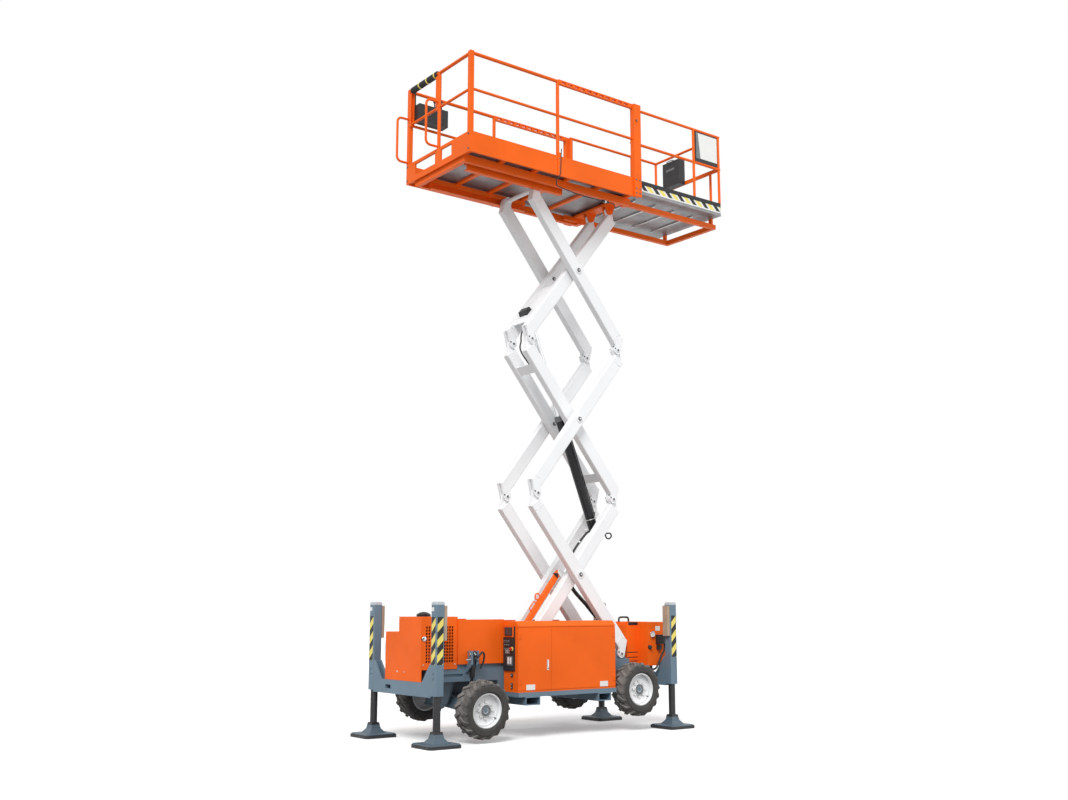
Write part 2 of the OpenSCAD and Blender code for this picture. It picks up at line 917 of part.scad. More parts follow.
module leg(end, s) {
    color(black) on_end(end) on_side(s) translate([column_x, column_y, 0]) {
        linear_extrude(pad_t - pad_edge) rounded_rect(pad_w, pad_w, pad_round);
        hull() {
            translate([0, 0, pad_t - pad_edge - over]) linear_extrude(over)
                rounded_rect(pad_w, pad_w, pad_round);
            translate([0, 0, pad_t - over]) linear_extrude(over)
                rounded_rect(pad_w - 2 * pad_edge, pad_w - 2 * pad_edge, pad_round);
        }
        pad_tier(pad_block_w, pad_waist_w, [pad_t - over, pad_waist_z]);
        pad_tier(pad_waist_w, leg_rod_d + pad_edge, [pad_waist_z - over, pad_h]);
        cylinder(d = leg_rod_d, h = column_z0 + leg_in);
    }
}

// Square block that narrows upwards
module pad_tier(low_w, high_w, z) {
    hull() {
        translate([0, 0, z[0]]) linear_extrude(over) square(low_w, center = true);
        translate([0, 0, z[1] - over]) linear_extrude(over) square(high_w, center = true);
    }
}

module leg_front_near() { leg(-1, -1); }
module leg_front_far() { leg(-1, 1); }
module leg_rear_near() { leg(1, -1); }
module leg_rear_far() { leg(1, 1); }

// Engine cover: a shell with a stepped roof, open below
module hood_outline(inset) {
    polygon([
        [-hood_half + inset, hood_side_z], [hood_half - inset, hood_side_z],
        [hood_half - inset, hood_low - inset], [hood_step_y - inset, hood_low - inset],
        [hood_step_y - inset, hood_high - inset], [-hood_half + inset, hood_high - inset]
    ]);
}

module engine_cover() {
    color(orange) {
        difference() {
            lengthways([hood_x0, hood_x1]) hood_outline(0);
            lengthways([hood_x0 + hood_wall, hood_x1 - hood_wall])
                translate([0, -over]) hood_outline(hood_wall);
            span([hood_x1 - hood_wall - over, hood_x1 + over], [hood_wall - hood_half, hood_half - hood_wall],
                [hood_side_z - over, rail_z1]);
            for (x = [grille_x[0]:grille_pitch:grille_x[1] - grille_hole],
                 z = [grille_z[0]:grille_pitch:grille_z[1] - grille_hole]) {
                span([x, x + grille_hole], [-hood_half - over, -hood_half + hood_wall + over],
                    [z, z + grille_hole]);
            }
        }
        span([hood_x0, hood_x0 + hood_wall], [-hood_half, hood_half], [beam_z1, hood_side_z + over]);
    }
}

module engine_block() {
    color(black) {
        span(engine_x, [-engine_half, engine_half], [engine_seat_z, engine_top]);
        translate([dome_x, dome_y, hood_high]) rotate_extrude() intersection() {
            translate([0, dome_h - dome_d * dome_share]) circle(dome_d * dome_share, $fn = 96);
            square([dome_d / 2, dome_h]);
        }
    }
}
module well_panels() {
    color(orange) both_sides() {
        span([hood_x1 + slip, cab_x0 - slip], well_y, [rail_z1, well_z1]);
        span([hood_x1 + slip, cab_x0 - slip], [well_y[0] - well_flange, well_y[1]],
            [rail_z1, rail_z1 + well_sheet]);
    }
}

// Cabinets: shells with a bevelled roof edge, open towards their doors
module cabinet_outline(inset) {
    polygon([
        [cab_y0 + inset, ledge_z1 + inset], [cab_y1 - inset, ledge_z1 + inset],
        [cab_y1 - inset, cab_z1 - inset], [cab_y1 - bevel, cab_z2 - inset], [cab_y0 + inset, cab_z2 - inset]
    ]);
}

module cabinet() {
    difference() {
        lengthways([cab_x0, cab_x1]) cabinet_outline(0);
        lengthways([cab_x0 + cab_wall, cab_x1 - cab_wall]) cabinet_outline(cab_wall);
        span([cab_x0 - over, cab_x1 + over], [cab_y1 - door_t - door_gap, cab_y1 + over],
            [ledge_z1 + cab_wall, cab_z1 - cab_wall]);
    }
    for (x = door_axis_x) {
        bar_z(x, door_y, [door_z[0] - door_rim - over, door_z[0] + door_pin_l], door_pin_d);
        bar_z(x, door_y, [door_z[1] - door_pin_l, door_z[1] + door_rim + over], door_pin_d);
    }
}

module cabinets() {
    color(orange) both_sides() cabinet();
}

module door(x, axis) {
    color(orange) difference() {
        span(x, [cab_y1 - door_t, cab_y1], door_z);
        for (z = [door_z[0] - over, door_z[1] - door_pin_l - over]) {
            bar_z(axis, door_y, [z, z + door_pin_l + 2 * over], door_pin_d + 2 * pin_clear);
        }
    }
}

module left_door() { door([cab_x0, door_split - door_rim / 2], door_axis_x[0]); }
module right_door() { door([door_split + door_rim / 2, cab_x1], door_axis_x[1]); }
module door_near_left() { on_side(-1) left_door(); }
module door_near_right() { on_side(-1) right_door(); }
module door_far_left() { left_door(); }
module door_far_right() { right_door(); }

module control_panel() {
    color(black) span([cab_x0 - panel_t, cab_x0], [-panel_y[1], -panel_y[0]], panel_z);
}

module cabinet_equipment() {
    floor_z = ledge_z1 + cab_wall;
    tank_y = [cab_y0 + cab_wall, cab_y1 - door_t - door_gap - gear_gap];
    color(steel) both_sides() {
        span([cab_x0 + cab_wall + gear_gap, door_split - gear_gap], tank_y, [floor_z, floor_z + tank_h]);
        span([door_split + gear_gap, cab_x1 - cab_wall - gear_gap], tank_y, [floor_z, cab_z1 - pump_drop]);
    }
}

module rear_boxes() {
    color(orange) {
        difference() {
            span(rear_box_x, [-rear_box_half, rear_box_half], [rail_rear_z1, rear_box_z1]);
            span([rear_box_x[0] - over, rear_box_x[0] + box_round],
                [-rear_box_half - over, rear_box_half + over], [rear_box_z1 - box_round, rear_box_z1 + over]);
        }
        span([valve_x, rear_box_x[1]], [-valve_y, -rear_box_half - slip], [rail_rear_z1, rear_box_z1]);
    }
}

// Axles and wheels
module at_front() {
    translate([front_x, 0, front_z]) rotate([axle_roll, 0, 0]) children();
}

module front_axle() {
    color(blue_grey) at_front() {
        span([-axle_box / 2, axle_box / 2], [-beam_half, beam_half], [-axle_box / 2, axle_box / 2]);
        bar_x([-pivot_gap - pivot_plate_t, pivot_gap + pivot_plate_t], 0, 0, pivot_d);
        both_sides() difference() {
            union() {
                span([-yoke_w / 2, yoke_w / 2], [beam_half - over, beam_half + yoke_t / 2],
                    [-yoke_z - yoke_t, yoke_z + yoke_t]);
                for (s = [-1, 1]) {
                    span([-yoke_w / 2, yoke_w / 2], [beam_half, yoke_y1],
                        s > 0 ? [yoke_z, yoke_z + yoke_t] : [-yoke_z - yoke_t, -yoke_z]);
                }
            }
            bar_z(0, kingpin_y, [-yoke_z - 2 * yoke_t, yoke_z + 2 * yoke_t], kingpin_d + 2 * pin_clear);
        }
        both_sides() for (s = [-1, 1]) {
            x = s * (ram_d / 2 + slip + foot_t / 2);
            across_ear(x);
        }
    }
}

// One plate of the ear that holds the ram's foot
module across_ear(x) {
    z = yoke_z + yoke_t;
    lengthways([x - foot_t / 2, x + foot_t / 2]) {
        translate([ear_y, z + ear_up]) circle(d = ram_eye_d / 2);
        polygon([
            [ear_y - ram_eye_d / 2, z - over], [ear_y + ram_eye_d / 2, z - over],
            [ear_y + ram_eye_d / 4, z + ear_up], [ear_y - ram_eye_d / 4, z + ear_up]
        ]);
    }
}

module knuckle() {
    span([-knuckle_w / 2, knuckle_w / 2], [kingpin_y - knuckle_w / 2, kingpin_y + knuckle_w / 2],
        [-knuckle_h, knuckle_h]);
    bar_z(0, kingpin_y, [-yoke_z - yoke_t, yoke_z + yoke_t], kingpin_d);
    bar_y(0, [kingpin_y, wheel_y + hub_out], 0, spindle_d);
    span([0, arm_back], [kingpin_y - arm_bar / 2, kingpin_y + arm_bar / 2], [-arm_bar / 2, arm_bar / 2]);
    bar_z(arm_back, kingpin_y, [-arm_bar / 2, arm_bar / 2], tie_eye_d);
    bar_z(arm_back, kingpin_y, [0, arm_bar / 2 + tie_eye_t + slip], tie_pin_d);
}

module knuckle_near() { color(blue_grey) at_front() on_side(-1) knuckle(); }
module knuckle_far() { color(blue_grey) at_front() knuckle(); }

module tie_rod() {
    z = arm_bar / 2 + slip + tie_eye_t / 2;
    color(steel) at_front() difference() {
        union() {
            bar_y(arm_back, [-kingpin_y, kingpin_y], z, tie_eye_t);
            both_sides() bar_z(arm_back, kingpin_y, [z - tie_eye_t / 2, z + tie_eye_t / 2], tie_eye_d);
        }
        both_sides() bar_z(arm_back, kingpin_y, [z - tie_eye_t, z + tie_eye_t], tie_pin_d + 2 * pin_clear);
    }
}

module rear_axle() {
    color(blue_grey) translate([rear_x, 0, rear_z]) {
        span([-rear_beam / 2, rear_beam / 2], [-kingpin_y, kingpin_y], [-rear_beam / 2, rear_beam / 2]);
        both_sides() {
            bar_y(0, [kingpin_y - over, wheel_y - hub_in - 2 * slip], 0, hub_d);
            bar_y(0, [kingpin_y, wheel_y + hub_out], 0, spindle_d);
        }
    }
}

// Wheel shapes, drawn with the axle along Y and the outer side towards +Y
module tyre() {
    rotate([-90, 0, 0]) {
        rotate_extrude($fn = 36) polygon([
            [rim_d / 2 + slip / 2, -tyre_w / 2 + bead], [rim_d / 2 + bead, -tyre_w / 2],
            [tread_r - shoulder, -tyre_w / 2], [tread_r, -tyre_w / 2 + shoulder],
            [tread_r, tyre_w / 2 - shoulder], [tread_r - shoulder, tyre_w / 2],
            [rim_d / 2 + bead, tyre_w / 2], [rim_d / 2 + slip / 2, tyre_w / 2 - bead]
        ]);
        for (i = [0:lug_count - 1]) {
            rotate([0, 0, 360 / lug_count * i]) lug();
            rotate([0, 0, 360 / lug_count * (i + lug_stagger_share)]) mirror([0, 0, 1]) lug();
        }
    }
}

// One slanted lug on the outer half of the tread
module lug() {
    translate([0, lug_l * sin(lug_slant) / 2, 0]) rotate([lug_slant, 0, 0]) rotate([90, 0, 0])
        linear_extrude(lug_w, center = true) polygon([
            [tread_r - lug_sink, lug_gap_mid], [lug_top, lug_gap_mid], [lug_top, lug_l - shoulder],
            [tread_r - lug_sink, lug_l], [tread_r - shoulder - lug_sink, lug_l - lug_sink]
        ]);
}

module rim() {
    rotate([-90, 0, 0]) rotate_extrude($fn = 96) polygon([
        [spindle_d / 2 + pin_clear, -hub_in], [hub_d / 2, -hub_in], [hub_d / 2, rim_set - rim_t],
        [rim_d / 2 - rim_t, rim_set - rim_t], [rim_d / 2 - rim_t, -tyre_w / 2 + flange],
        [rim_d / 2, -tyre_w / 2 + flange], [rim_d / 2, tyre_w / 2 - flange],
        [rim_d / 2 - rim_t, tyre_w / 2 - flange], [rim_d / 2 - rim_t, rim_set],
        [hub_d / 2, rim_set], [hub_d / 2, hub_out], [spindle_d / 2 + pin_clear, hub_out]
    ]);
    for (i = [0:stud_count - 1]) rotate([0, 360 / stud_count * i, 0])
        bar_y(stud_circle / 2, [rim_set - over, rim_set + stud_d], 0, stud_d);
}

module at_front_wheel(s) {
    at_front() on_side(s) translate([0, wheel_y, 0]) children();
}

module at_rear_wheel(s) {
    translate([rear_x, 0, rear_z]) on_side(s) translate([0, wheel_y, 0]) children();
}

module tyre_front_near() { color(rubber) at_front_wheel(-1) tyre(); }
module tyre_front_far() { color(rubber) at_front_wheel(1) tyre(); }
module tyre_rear_near() { color(rubber) at_rear_wheel(-1) tyre(); }
module tyre_rear_far() { color(rubber) at_rear_wheel(1) tyre(); }
module rim_front_near() { color(rim_white) at_front_wheel(-1) rim(); }
module rim_front_far() { color(rim_white) at_front_wheel(1) rim(); }
module rim_rear_near() { color(rim_white) at_rear_wheel(-1) rim(); }
module rim_rear_far() { color(rim_white) at_rear_wheel(1) rim(); }

// Platform
module top_track() {
    difference() {
        span(top_track_x, top_track_y, [pz - top_roller_d / 2 - top_track_wall, joist_z[0] + over]);
        span([top_track_x[0] - over, top_track_x[1] + over],
            [top_track_y[0] - over, top_track_y[1] - top_track_wall],
            [pz - top_roller_d / 2 - slip, pz + top_roller_d / 2 + slip]);
    }
}

module top_clevis() {
    for (s = [0, 1]) translate([0, inner_y, 0]) mirror([0, s, 0])
        across([tang_w / 2 + fork_gap, arm_width / 2]) {
            translate([base_x, pz]) circle(lug_r);
            polygon([
                [base_x - clevis_foot, pz + clevis_up], [base_x - lug_r, pz],
                [base_x + lug_r, pz], [base_x + clevis_foot, pz + clevis_up]
            ]);
        }
    bar_y(base_x, [inner_face - pin_head_t, inner_half + pin_head_t], pz, pin_d);
}

module platform_frame() {
    color(orange) {
        both_sides() {
            span(side_beam_x, side_beam_y, [pz, joist_z[0] + over]);
            top_track();
            top_clevis();
        }
        span([side_beam_x[0], side_beam_x[0] + joist_w], [-side_beam_y[1], side_beam_y[1]],
            [pz, joist_z[0] + over]);
        for (i = [0:joist_count - 1]) {
            x = side_beam_x[0] + i * (base_x - joist_w / 2 - side_beam_x[0]) / (joist_count - 1);
            span([x, x + joist_w], [-plat_half + panel_t2, plat_half - panel_t2], joist_z);
        }
        span([base_x - clevis_foot, base_x + clevis_foot], [-under_y[0] + roll_gap, under_y[0] - roll_gap],
            [pz + clevis_up - over, joist_z[0] + over]);
        both_sides() span([side_beam_x[1] - shoe_l, side_beam_x[1]], [under_y[0], side_beam_y[0] + over],
            [pz, pz + under_z[0] - slip]);
    }
}

module platform_deck() {
    color(steel) span([plat_x0 + panel_t2, plat_x1], [-plat_half + panel_t2, plat_half - panel_t2],
        [deck_z - deck_t, deck_z]);
}

module toe_panels() {
    color(orange) {
        both_sides() span([plat_x0, plat_x1], [plat_half - panel_t2, plat_half], [panel_z0, panel_z1]);
        difference() {
            span([plat_x0, plat_x0 + panel_t2], [-plat_half, plat_half], [panel_z0, panel_z1]);
            for (w = [window_far, window_near]) {
                span([plat_x0 - over, plat_x0 + panel_t2 + over], w,
                    [panel_z0 + window_z[0], panel_z0 + window_z[1]]);
            }
        }
    }
}

// Grab handle bowed out towards the left from a post
module hoop(x0, z) {
    x = plat_x0 - hoop_out;
    bar_z(x, 0, [z[0] + hoop_round, z[1] - hoop_round], hoop_d);
    for (i = [0, 1]) {
        translate([x + hoop_round, 0, i > 0 ? z[1] - hoop_round : z[0] + hoop_round])
            rotate([90, i > 0 ? -90 : 180, 0]) rotate_extrude(angle = 90) translate([hoop_round, 0])
                circle(d = hoop_d);
        bar_x([x + hoop_round, x0], 0, z[i], hoop_d);
    }
}

module ladder_rail(x) {
    z = [top_z + top_rail_d / 2 - ladder_h, top_z + top_rail_d / 2];
    difference() {
        span(x, [plat_half - ladder_t, plat_half], z);
        for (s = [x[0] + ladder_pitch / 2:ladder_pitch:x[1] - ladder_pitch]) {
            span([s, s + ladder_slot[0]], [plat_half - ladder_t - over, plat_half + over],
                [(z[0] + z[1] - ladder_slot[1]) / 2, (z[0] + z[1] + ladder_slot[1]) / 2]);
        }
    }
}

module guardrails() {
    color(orange) {
        both_sides() {
            span([plat_x0, plat_x0 + post_w], [plat_half - post_w, plat_half], [panel_z1, top_z + top_rail_d / 2]);
            bar_z(mid_post_x, rail_y, [panel_z1, top_z], mid_post_d);
            span([mid_post_x - mid_post_d / 2, mid_post_x + mid_post_d / 2], [plat_half, plat_half + foot_t],
                [panel_z0, panel_z1 + mid_post_d]);
            span([mid_post_x - mid_post_d / 2, mid_post_x + mid_post_d / 2], [rail_y, plat_half + foot_t],
                [panel_z1, panel_z1 + mid_post_d]);
            span(end_post_x, [plat_half - ladder_t, plat_half + end_post_t], [panel_z1, top_z + top_rail_d / 2]);
            span(end_post_x, [plat_half, plat_half + end_post_t], [panel_z0, panel_z1 + over]);
            bar_x([plat_x0 + post_w - over, mid_post_x], rail_y, top_z, top_rail_d);
            ladder_rail([mid_post_x, end_post_x[0] + over]);
            bar_x([plat_x0 + post_w - over, end_post_x[0] + over], rail_y, mid_rail_z, mid_rail_d);
        }
        bar_y(corner_x, [-plat_half + post_w / 2, plat_half - post_w / 2], top_z, top_rail_d);
        bar_y(corner_x, [-plat_half + post_w / 2, 0], mid_rail_z, mid_rail_d);
        bar_z(corner_x, 0, [panel_z1, top_z], mid_post_d);
        translate([0, plat_half - hoop_d, 0]) hoop(plat_x0 + over, hoop_z);
        hoop(corner_x, hoop_z);
        entry_guide(0, mid_post_d / 2);
        mirror([0, 1, 0]) entry_guide(-plat_half + post_w, 0);
    }
}

// Two flats on a post that hold one end of the entry bar, with a stop below it
module entry_guide(y, out) {
    z = [mid_rail_z - mid_rail_d, mid_rail_z + entry_lift + mid_rail_d];
    for (s = [-1, 1]) {
        x = corner_x + s * (mid_rail_d / 2 + slip + foot_t / 2);
        span([x - foot_t / 2, x + foot_t / 2], [y - over, y + out + guide_w], z);
    }
    span([corner_x - mid_rail_d / 2 - foot_t, corner_x + mid_rail_d / 2 + foot_t], [y - over, y + out + guide_w],
        [z[0], mid_rail_z - mid_rail_d / 2 - slip]);
}

module platform_console() {
    y1 = rail_y - top_rail_d / 2 - slip;
    color(black) {
        span(console_x, [console_y, y1], [deck_z + console_z[0], deck_z + console_z[1]]);
        for (x = [console_x[0] + foot_t, console_x[1] - 3 * foot_t]) {
            span([x, x + 2 * foot_t], [y1 - foot_t, y1], [deck_z + console_z[0], top_z]);
        }
    }
}

module rail_sleeve() {
    color(black) difference() {
        bar_y(corner_x, sleeve_y, top_z, sleeve_d);
        bar_y(corner_x, [sleeve_y[0] - over, sleeve_y[1] + over], top_z, top_rail_d + 2 * slip);
    }
}

module entry_bar() {
    color(orange) bar_y(corner_x, [mid_post_d / 2 + slip, plat_half - post_w - slip], mid_rail_z, mid_rail_d);
}

// Roll-out deck: a sheet with side plates that slides over the main deck
module roll_out_deck() {
    color(steel) {
        span([roll_sheet_x0, roll_end], [-roll_half + roll_plate_t - over, roll_half - roll_plate_t + over],
            [roll_z, roll_z + roll_sheet_t]);
        both_sides() {
            span([roll_plate_x0, roll_end], [roll_half - roll_plate_t, roll_half], roll_plate_z);
            span([roll_sheet_x0, roll_sheet_x0 + shoe_l], under_y, [deck_z + slip, roll_z + over]);
        }
    }
}

module roll_out_frame() {
    y = roll_half - roll_plate_t / 2;
    mid_z = deck_z + roll_mid_up;
    x = roll_post_x;
    color(orange) {
        both_sides() {
            span([under_x0, roll_x1], under_y, [pz + under_z[0], pz + under_z[1]]);
            span([roll_end - riser_t, roll_end], under_y, [pz + under_z[1] - over, roll_z]);
            for (p = x) bar_z(p, y, [roll_plate_z[1], top_z], roll_rail_d);
            for (h = [mid_z, top_z]) bar_x([x[0] - roll_rail_d / 2, x[2] + roll_rail_d / 2], y, h, roll_rail_d);
        }
        span([roll_x1 - joist_w, roll_x1], [-under_y[0] - over, under_y[0] + over], [pz + under_z[0], pz + under_z[1]]);
        bar_y(x[2], [-y, y], top_z, roll_rail_d);
        span([x[2] - foot_t, x[2] + foot_t], [-y, y], [mid_z - end_rail_h / 2, mid_z + end_rail_h / 2]);
        bar_z(x[2], -end_post_y, [roll_z + roll_sheet_t, mid_z], roll_rail_d);
    }
}

module roll_out_cases() {
    y = roll_half - roll_plate_t / 2;
    x = roll_post_x[2] - foot_t - slip;
    color(black) {
        span([x - case_t, x], case_y, [deck_z + case_z[0], deck_z + case_z[1]]);
        span([roll_post_x[1] + sign_gap, roll_post_x[2] - sign_gap], [-y - sign_t / 2, -y + sign_t / 2],
            [deck_z + roll_mid_up + roll_rail_d / 2 + slip, top_z - roll_rail_d / 2 - slip]);
    }
}

chassis_frame();
outrigger_frame_left();
outrigger_frame_right();
column_covers();
engine_cover();
engine_block();
well_panels();
cabinets();
control_panel();
cabinet_equipment();
rear_boxes();
front_axle();
rear_axle();
axle_rams();
knuckle_near();
knuckle_far();
tie_rod();
tyre_front_near();
tyre_front_far();
tyre_rear_near();
tyre_rear_far();
rim_front_near();
rim_front_far();
rim_rear_near();
rim_rear_far();
leg_front_near();
leg_front_far();
leg_rear_near();
leg_rear_far();
door_near_left();
door_near_right();
door_far_left();
door_far_right();
outer_arm_1();
inner_arm_1();
outer_arm_2();
inner_arm_2();
outer_arm_3();
inner_arm_3();
lift_barrel();
lift_rod();
safety_prop();
platform_frame();
platform_deck();
toe_panels();
guardrails();
platform_console();
rail_sleeve();
entry_bar();
roll_out_deck();
roll_out_frame();
roll_out_cases();
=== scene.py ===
import json
import math

import bmesh
import bpy
from bpy.props import FloatProperty, FloatVectorProperty, PointerProperty
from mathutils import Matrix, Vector


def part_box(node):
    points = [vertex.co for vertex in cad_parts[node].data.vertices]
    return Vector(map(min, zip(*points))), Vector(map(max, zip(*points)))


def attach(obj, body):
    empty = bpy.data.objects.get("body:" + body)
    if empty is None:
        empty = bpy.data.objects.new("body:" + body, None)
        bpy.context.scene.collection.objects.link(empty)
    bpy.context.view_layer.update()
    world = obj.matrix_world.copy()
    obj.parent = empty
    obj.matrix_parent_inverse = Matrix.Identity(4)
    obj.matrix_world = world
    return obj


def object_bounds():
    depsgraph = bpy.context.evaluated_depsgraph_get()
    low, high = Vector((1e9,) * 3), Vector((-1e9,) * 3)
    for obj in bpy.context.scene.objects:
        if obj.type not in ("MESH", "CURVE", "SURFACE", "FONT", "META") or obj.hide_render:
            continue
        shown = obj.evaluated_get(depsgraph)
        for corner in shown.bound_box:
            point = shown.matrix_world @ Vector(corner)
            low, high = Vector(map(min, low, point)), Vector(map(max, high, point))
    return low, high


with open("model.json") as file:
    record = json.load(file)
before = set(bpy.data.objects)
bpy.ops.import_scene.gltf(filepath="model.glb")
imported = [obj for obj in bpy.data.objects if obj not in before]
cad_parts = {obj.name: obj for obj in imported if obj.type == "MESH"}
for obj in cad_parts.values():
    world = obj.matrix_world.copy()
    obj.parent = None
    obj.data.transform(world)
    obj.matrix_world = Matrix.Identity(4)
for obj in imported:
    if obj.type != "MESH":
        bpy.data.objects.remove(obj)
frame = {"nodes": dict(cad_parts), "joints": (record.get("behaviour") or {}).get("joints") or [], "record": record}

bl_info = {
    "name": "Scissor Lift Dressing",
    "version": (1, 0, 0),
    "blender": (4, 5, 0),
    "location": "View3D > Sidebar > Scissor Lift",
    "description": "Finishes, fittings, plumbing and stage for a raised scissor lift",
    "category": "Object",
}

NODES = frame["nodes"]
JOINTS = {joint["name"]: joint for joint in frame["joints"]}
SLOT_OF = {part["node"]: part["material_slot"] for part in frame["record"]["subparts"]}
CAD_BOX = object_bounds()

X = Vector((1.0, 0.0, 0.0))
Y = Vector((0.0, 1.0, 0.0))
Z = Vector((0.0, 0.0, 1.0))
SIGNS = (-1, 1)
SIDES = (("near", -1), ("far", 1))
ENDS = (("front", -1), ("rear", 1))
LEVELS = (1, 2, 3)


def low(node):
    """Lowest corner of a solid at rest."""
    return Vector(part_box(node)[0])


def high(node):
    """Highest corner of a solid at rest."""
    return Vector(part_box(node)[1])


def middle(node):
    """Middle of a solid's box at rest."""
    return (low(node) + high(node)) / 2


def pivot(joint):
    """Place of a joint's axis."""
    return Vector(JOINTS[joint]["pos_m"])


def length(label, words, value):
    return FloatProperty(name=label, description=words, default=value, unit="LENGTH")


def tint(label, words, value):
    return FloatVectorProperty(
        name=label, description=words, default=value, size=3, subtype="COLOR", min=0, max=1)


class LiftSizes(bpy.types.PropertyGroup):
    """Sizes of the fittings"""

    bolt: length("Bolt size", "Width of a common bolt head", 0.022)
    hose: length("Hose radius", "Radius of a hydraulic hose", 0.011)
    cable: length("Cable radius", "Radius of a thin cable", 0.006)
    stripe: length("Stripe height", "Height of one hazard stripe", 0.075)
    decal: length("Decal thickness", "Thickness of film on paint", 0.0008)


class LiftColours(bpy.types.PropertyGroup):
    """Colours of the finishes"""

    orange: tint("Orange", "Paint of the covers and rails", (0.93, 0.140, 0.010))
    steel_blue: tint("Blue-grey", "Paint of the chassis", (0.148, 0.218, 0.280))
    white: tint("White", "Paint of the arms and rims", (0.86, 0.87, 0.88))
    black: tint("Black", "Paint of cylinders and rods", (0.012, 0.012, 0.014))
    yellow: tint("Yellow", "Light part of the hazard stripes", (0.86, 0.72, 0.16))
    rubber: tint("Rubber", "Tyre compound", (0.035, 0.033, 0.031))
    dust: tint("Dust", "Dust on the tyres", (0.30, 0.285, 0.27))
    tan: tint("Tan", "Covers on the leg columns", (0.42, 0.31, 0.22))


def sizes():
    return bpy.context.scene.lift_sizes


def blank(name):
    """A new node material with its tree and shader."""
    material = bpy.data.materials.new(name)
    material.use_nodes = True
    tree = material.node_tree
    return material, tree, tree.nodes["Principled BSDF"]


def feed(tree, node, inputs):
    """Gives each named input of a node its value, or a link from another node's output."""
    for key, given in inputs.items():
        if hasattr(given, "is_linked"):
            tree.links.new(given, node.inputs[key])
        else:
            node.inputs[key].default_value = given
    return node


def add(tree, kind, inputs, operation=None):
    """A new node with its inputs fed."""
    node = tree.nodes.new(f"ShaderNode{kind}")
    if operation:
        node.operation = operation
    return feed(tree, node, inputs)


def place_socket(tree):
    """Object coordinates, which are metres in the part's own frame."""
    return tree.nodes.new("ShaderNodeTexCoord").outputs["Object"]


def noise(tree, scale, detail):
    inputs = {"Vector": place_socket(tree), "Scale": scale, "Detail": detail}
    return add(tree, "TexNoise", inputs).outputs["Fac"]


def remap(tree, value, old, new):
    ends = {"From Min": old[0], "From Max": old[1], "To Min": new[0], "To Max": new[1]}
    return add(tree, "MapRange", {"Value": value, **ends}).outputs["Result"]


def uneven(tree, scale, detail, new=(0.0, 1.0), old=(0.3, 0.7)):
    """Noise spread over a range of values."""
    return remap(tree, noise(tree, scale, detail), old, new)


def mix(tree, share, first, second):
    """Mixes two colours, each a colour value or a socket."""
    node = tree.nodes.new("ShaderNodeMix")
    node.data_type = "RGBA"
    tree.links.new(share, node.inputs["Factor"])
    for name, colour in (("A", first), ("B", second)):
        socket = next(s for s in node.inputs if s.name == name and s.type == "RGBA")
        if hasattr(colour, "is_linked"):
            tree.links.new(colour, socket)
        else:
            socket.default_value = (*colour[:3], 1.0)
    return next(s for s in node.outputs if s.type == "RGBA")


def shade(colour, factor):
    return tuple(min(1.0, channel * factor) for channel in colour)


def bump(tree, shader, height, strength, distance, rounding=0.0):
    """Bump on a shader, over edges rounded by a small radius."""
    inputs = {"Height": height, "Strength": strength, "Distance": distance}
    if rounding > 0.0:
        edge = add(tree, "Bevel", {"Radius": rounding})
        edge.samples = 4
        inputs["Normal"] = edge.outputs["Normal"]
    feed(tree, shader, {"Normal": add(tree, "Bump", inputs).outputs["Normal"]})


def height_bands(tree, edges, colour_list):
    """Colours that change at given heights above the ground."""
    split = add(tree, "SeparateXYZ", {"Vector": place_socket(tree)})
    colour = colour_list[0]
    for edge, above in zip(edges, colour_list[1:]):
        step = add(tree, "Math", {0: split.outputs["Z"], 1: edge}, "GREATER_THAN")
        colour = mix(tree, step.outputs["Value"], colour, above)
    return colour


def paint(name, colour, rough=0.40, rounding=0.004, vary=0.10, shine=0.30, cap=None):
    """Sprayed paint with drift, uneven gloss and orange peel; cap is a height and the colour above it."""
    material, tree, shader = blank(name)
    tone = mix(tree, uneven(tree, 1.7, 4.0), shade(colour, 1.0 - vary), shade(colour, 1.0 + vary / 2))
    if cap:
        tone = height_bands(tree, cap[:1], (tone, cap[1]))
    gloss = uneven(tree, 9.0, 5.0, (rough - 0.06, rough + 0.10), (0.25, 0.75))
    feed(tree, shader, {"Base Color": tone, "Roughness": gloss, "Specular IOR Level": shine})
    bump(tree, shader, noise(tree, 260.0, 2.0), strength=0.05, distance=0.0006, rounding=rounding)
    return material


def metal(name, colour, rough, scratch=0.12, rounding=0.002):
    """Bare metal with fine scratches in its gloss."""
    material, tree, shader = blank(name)
    tone = mix(tree, uneven(tree, 14.0, 6.0), shade(colour, 0.8), colour)
    gloss = uneven(tree, 120.0, 6.0, (rough, rough + scratch))
    feed(tree, shader, {"Metallic": 1.0, "Base Color": tone, "Roughness": gloss})
    bump(tree, shader, noise(tree, 300.0, 2.0), strength=0.05, distance=0.0004, rounding=rounding)
    return material


def moulded(name, colour, rough=0.55, grain=500.0, rounding=0.003):
    """Moulded plastic or rubber with a fine grain."""
    material, tree, shader = blank(name)
    tone = mix(tree, uneven(tree, 6.0, 4.0), shade(colour, 0.82), shade(colour, 1.15))
    gloss = uneven(tree, 40.0, 4.0, (rough - 0.08, rough + 0.10))
    feed(tree, shader, {"Base Color": tone, "Roughness": gloss})
    bump(tree, shader, noise(tree, grain, 2.0), strength=0.12, distance=0.0006, rounding=rounding)
    return material


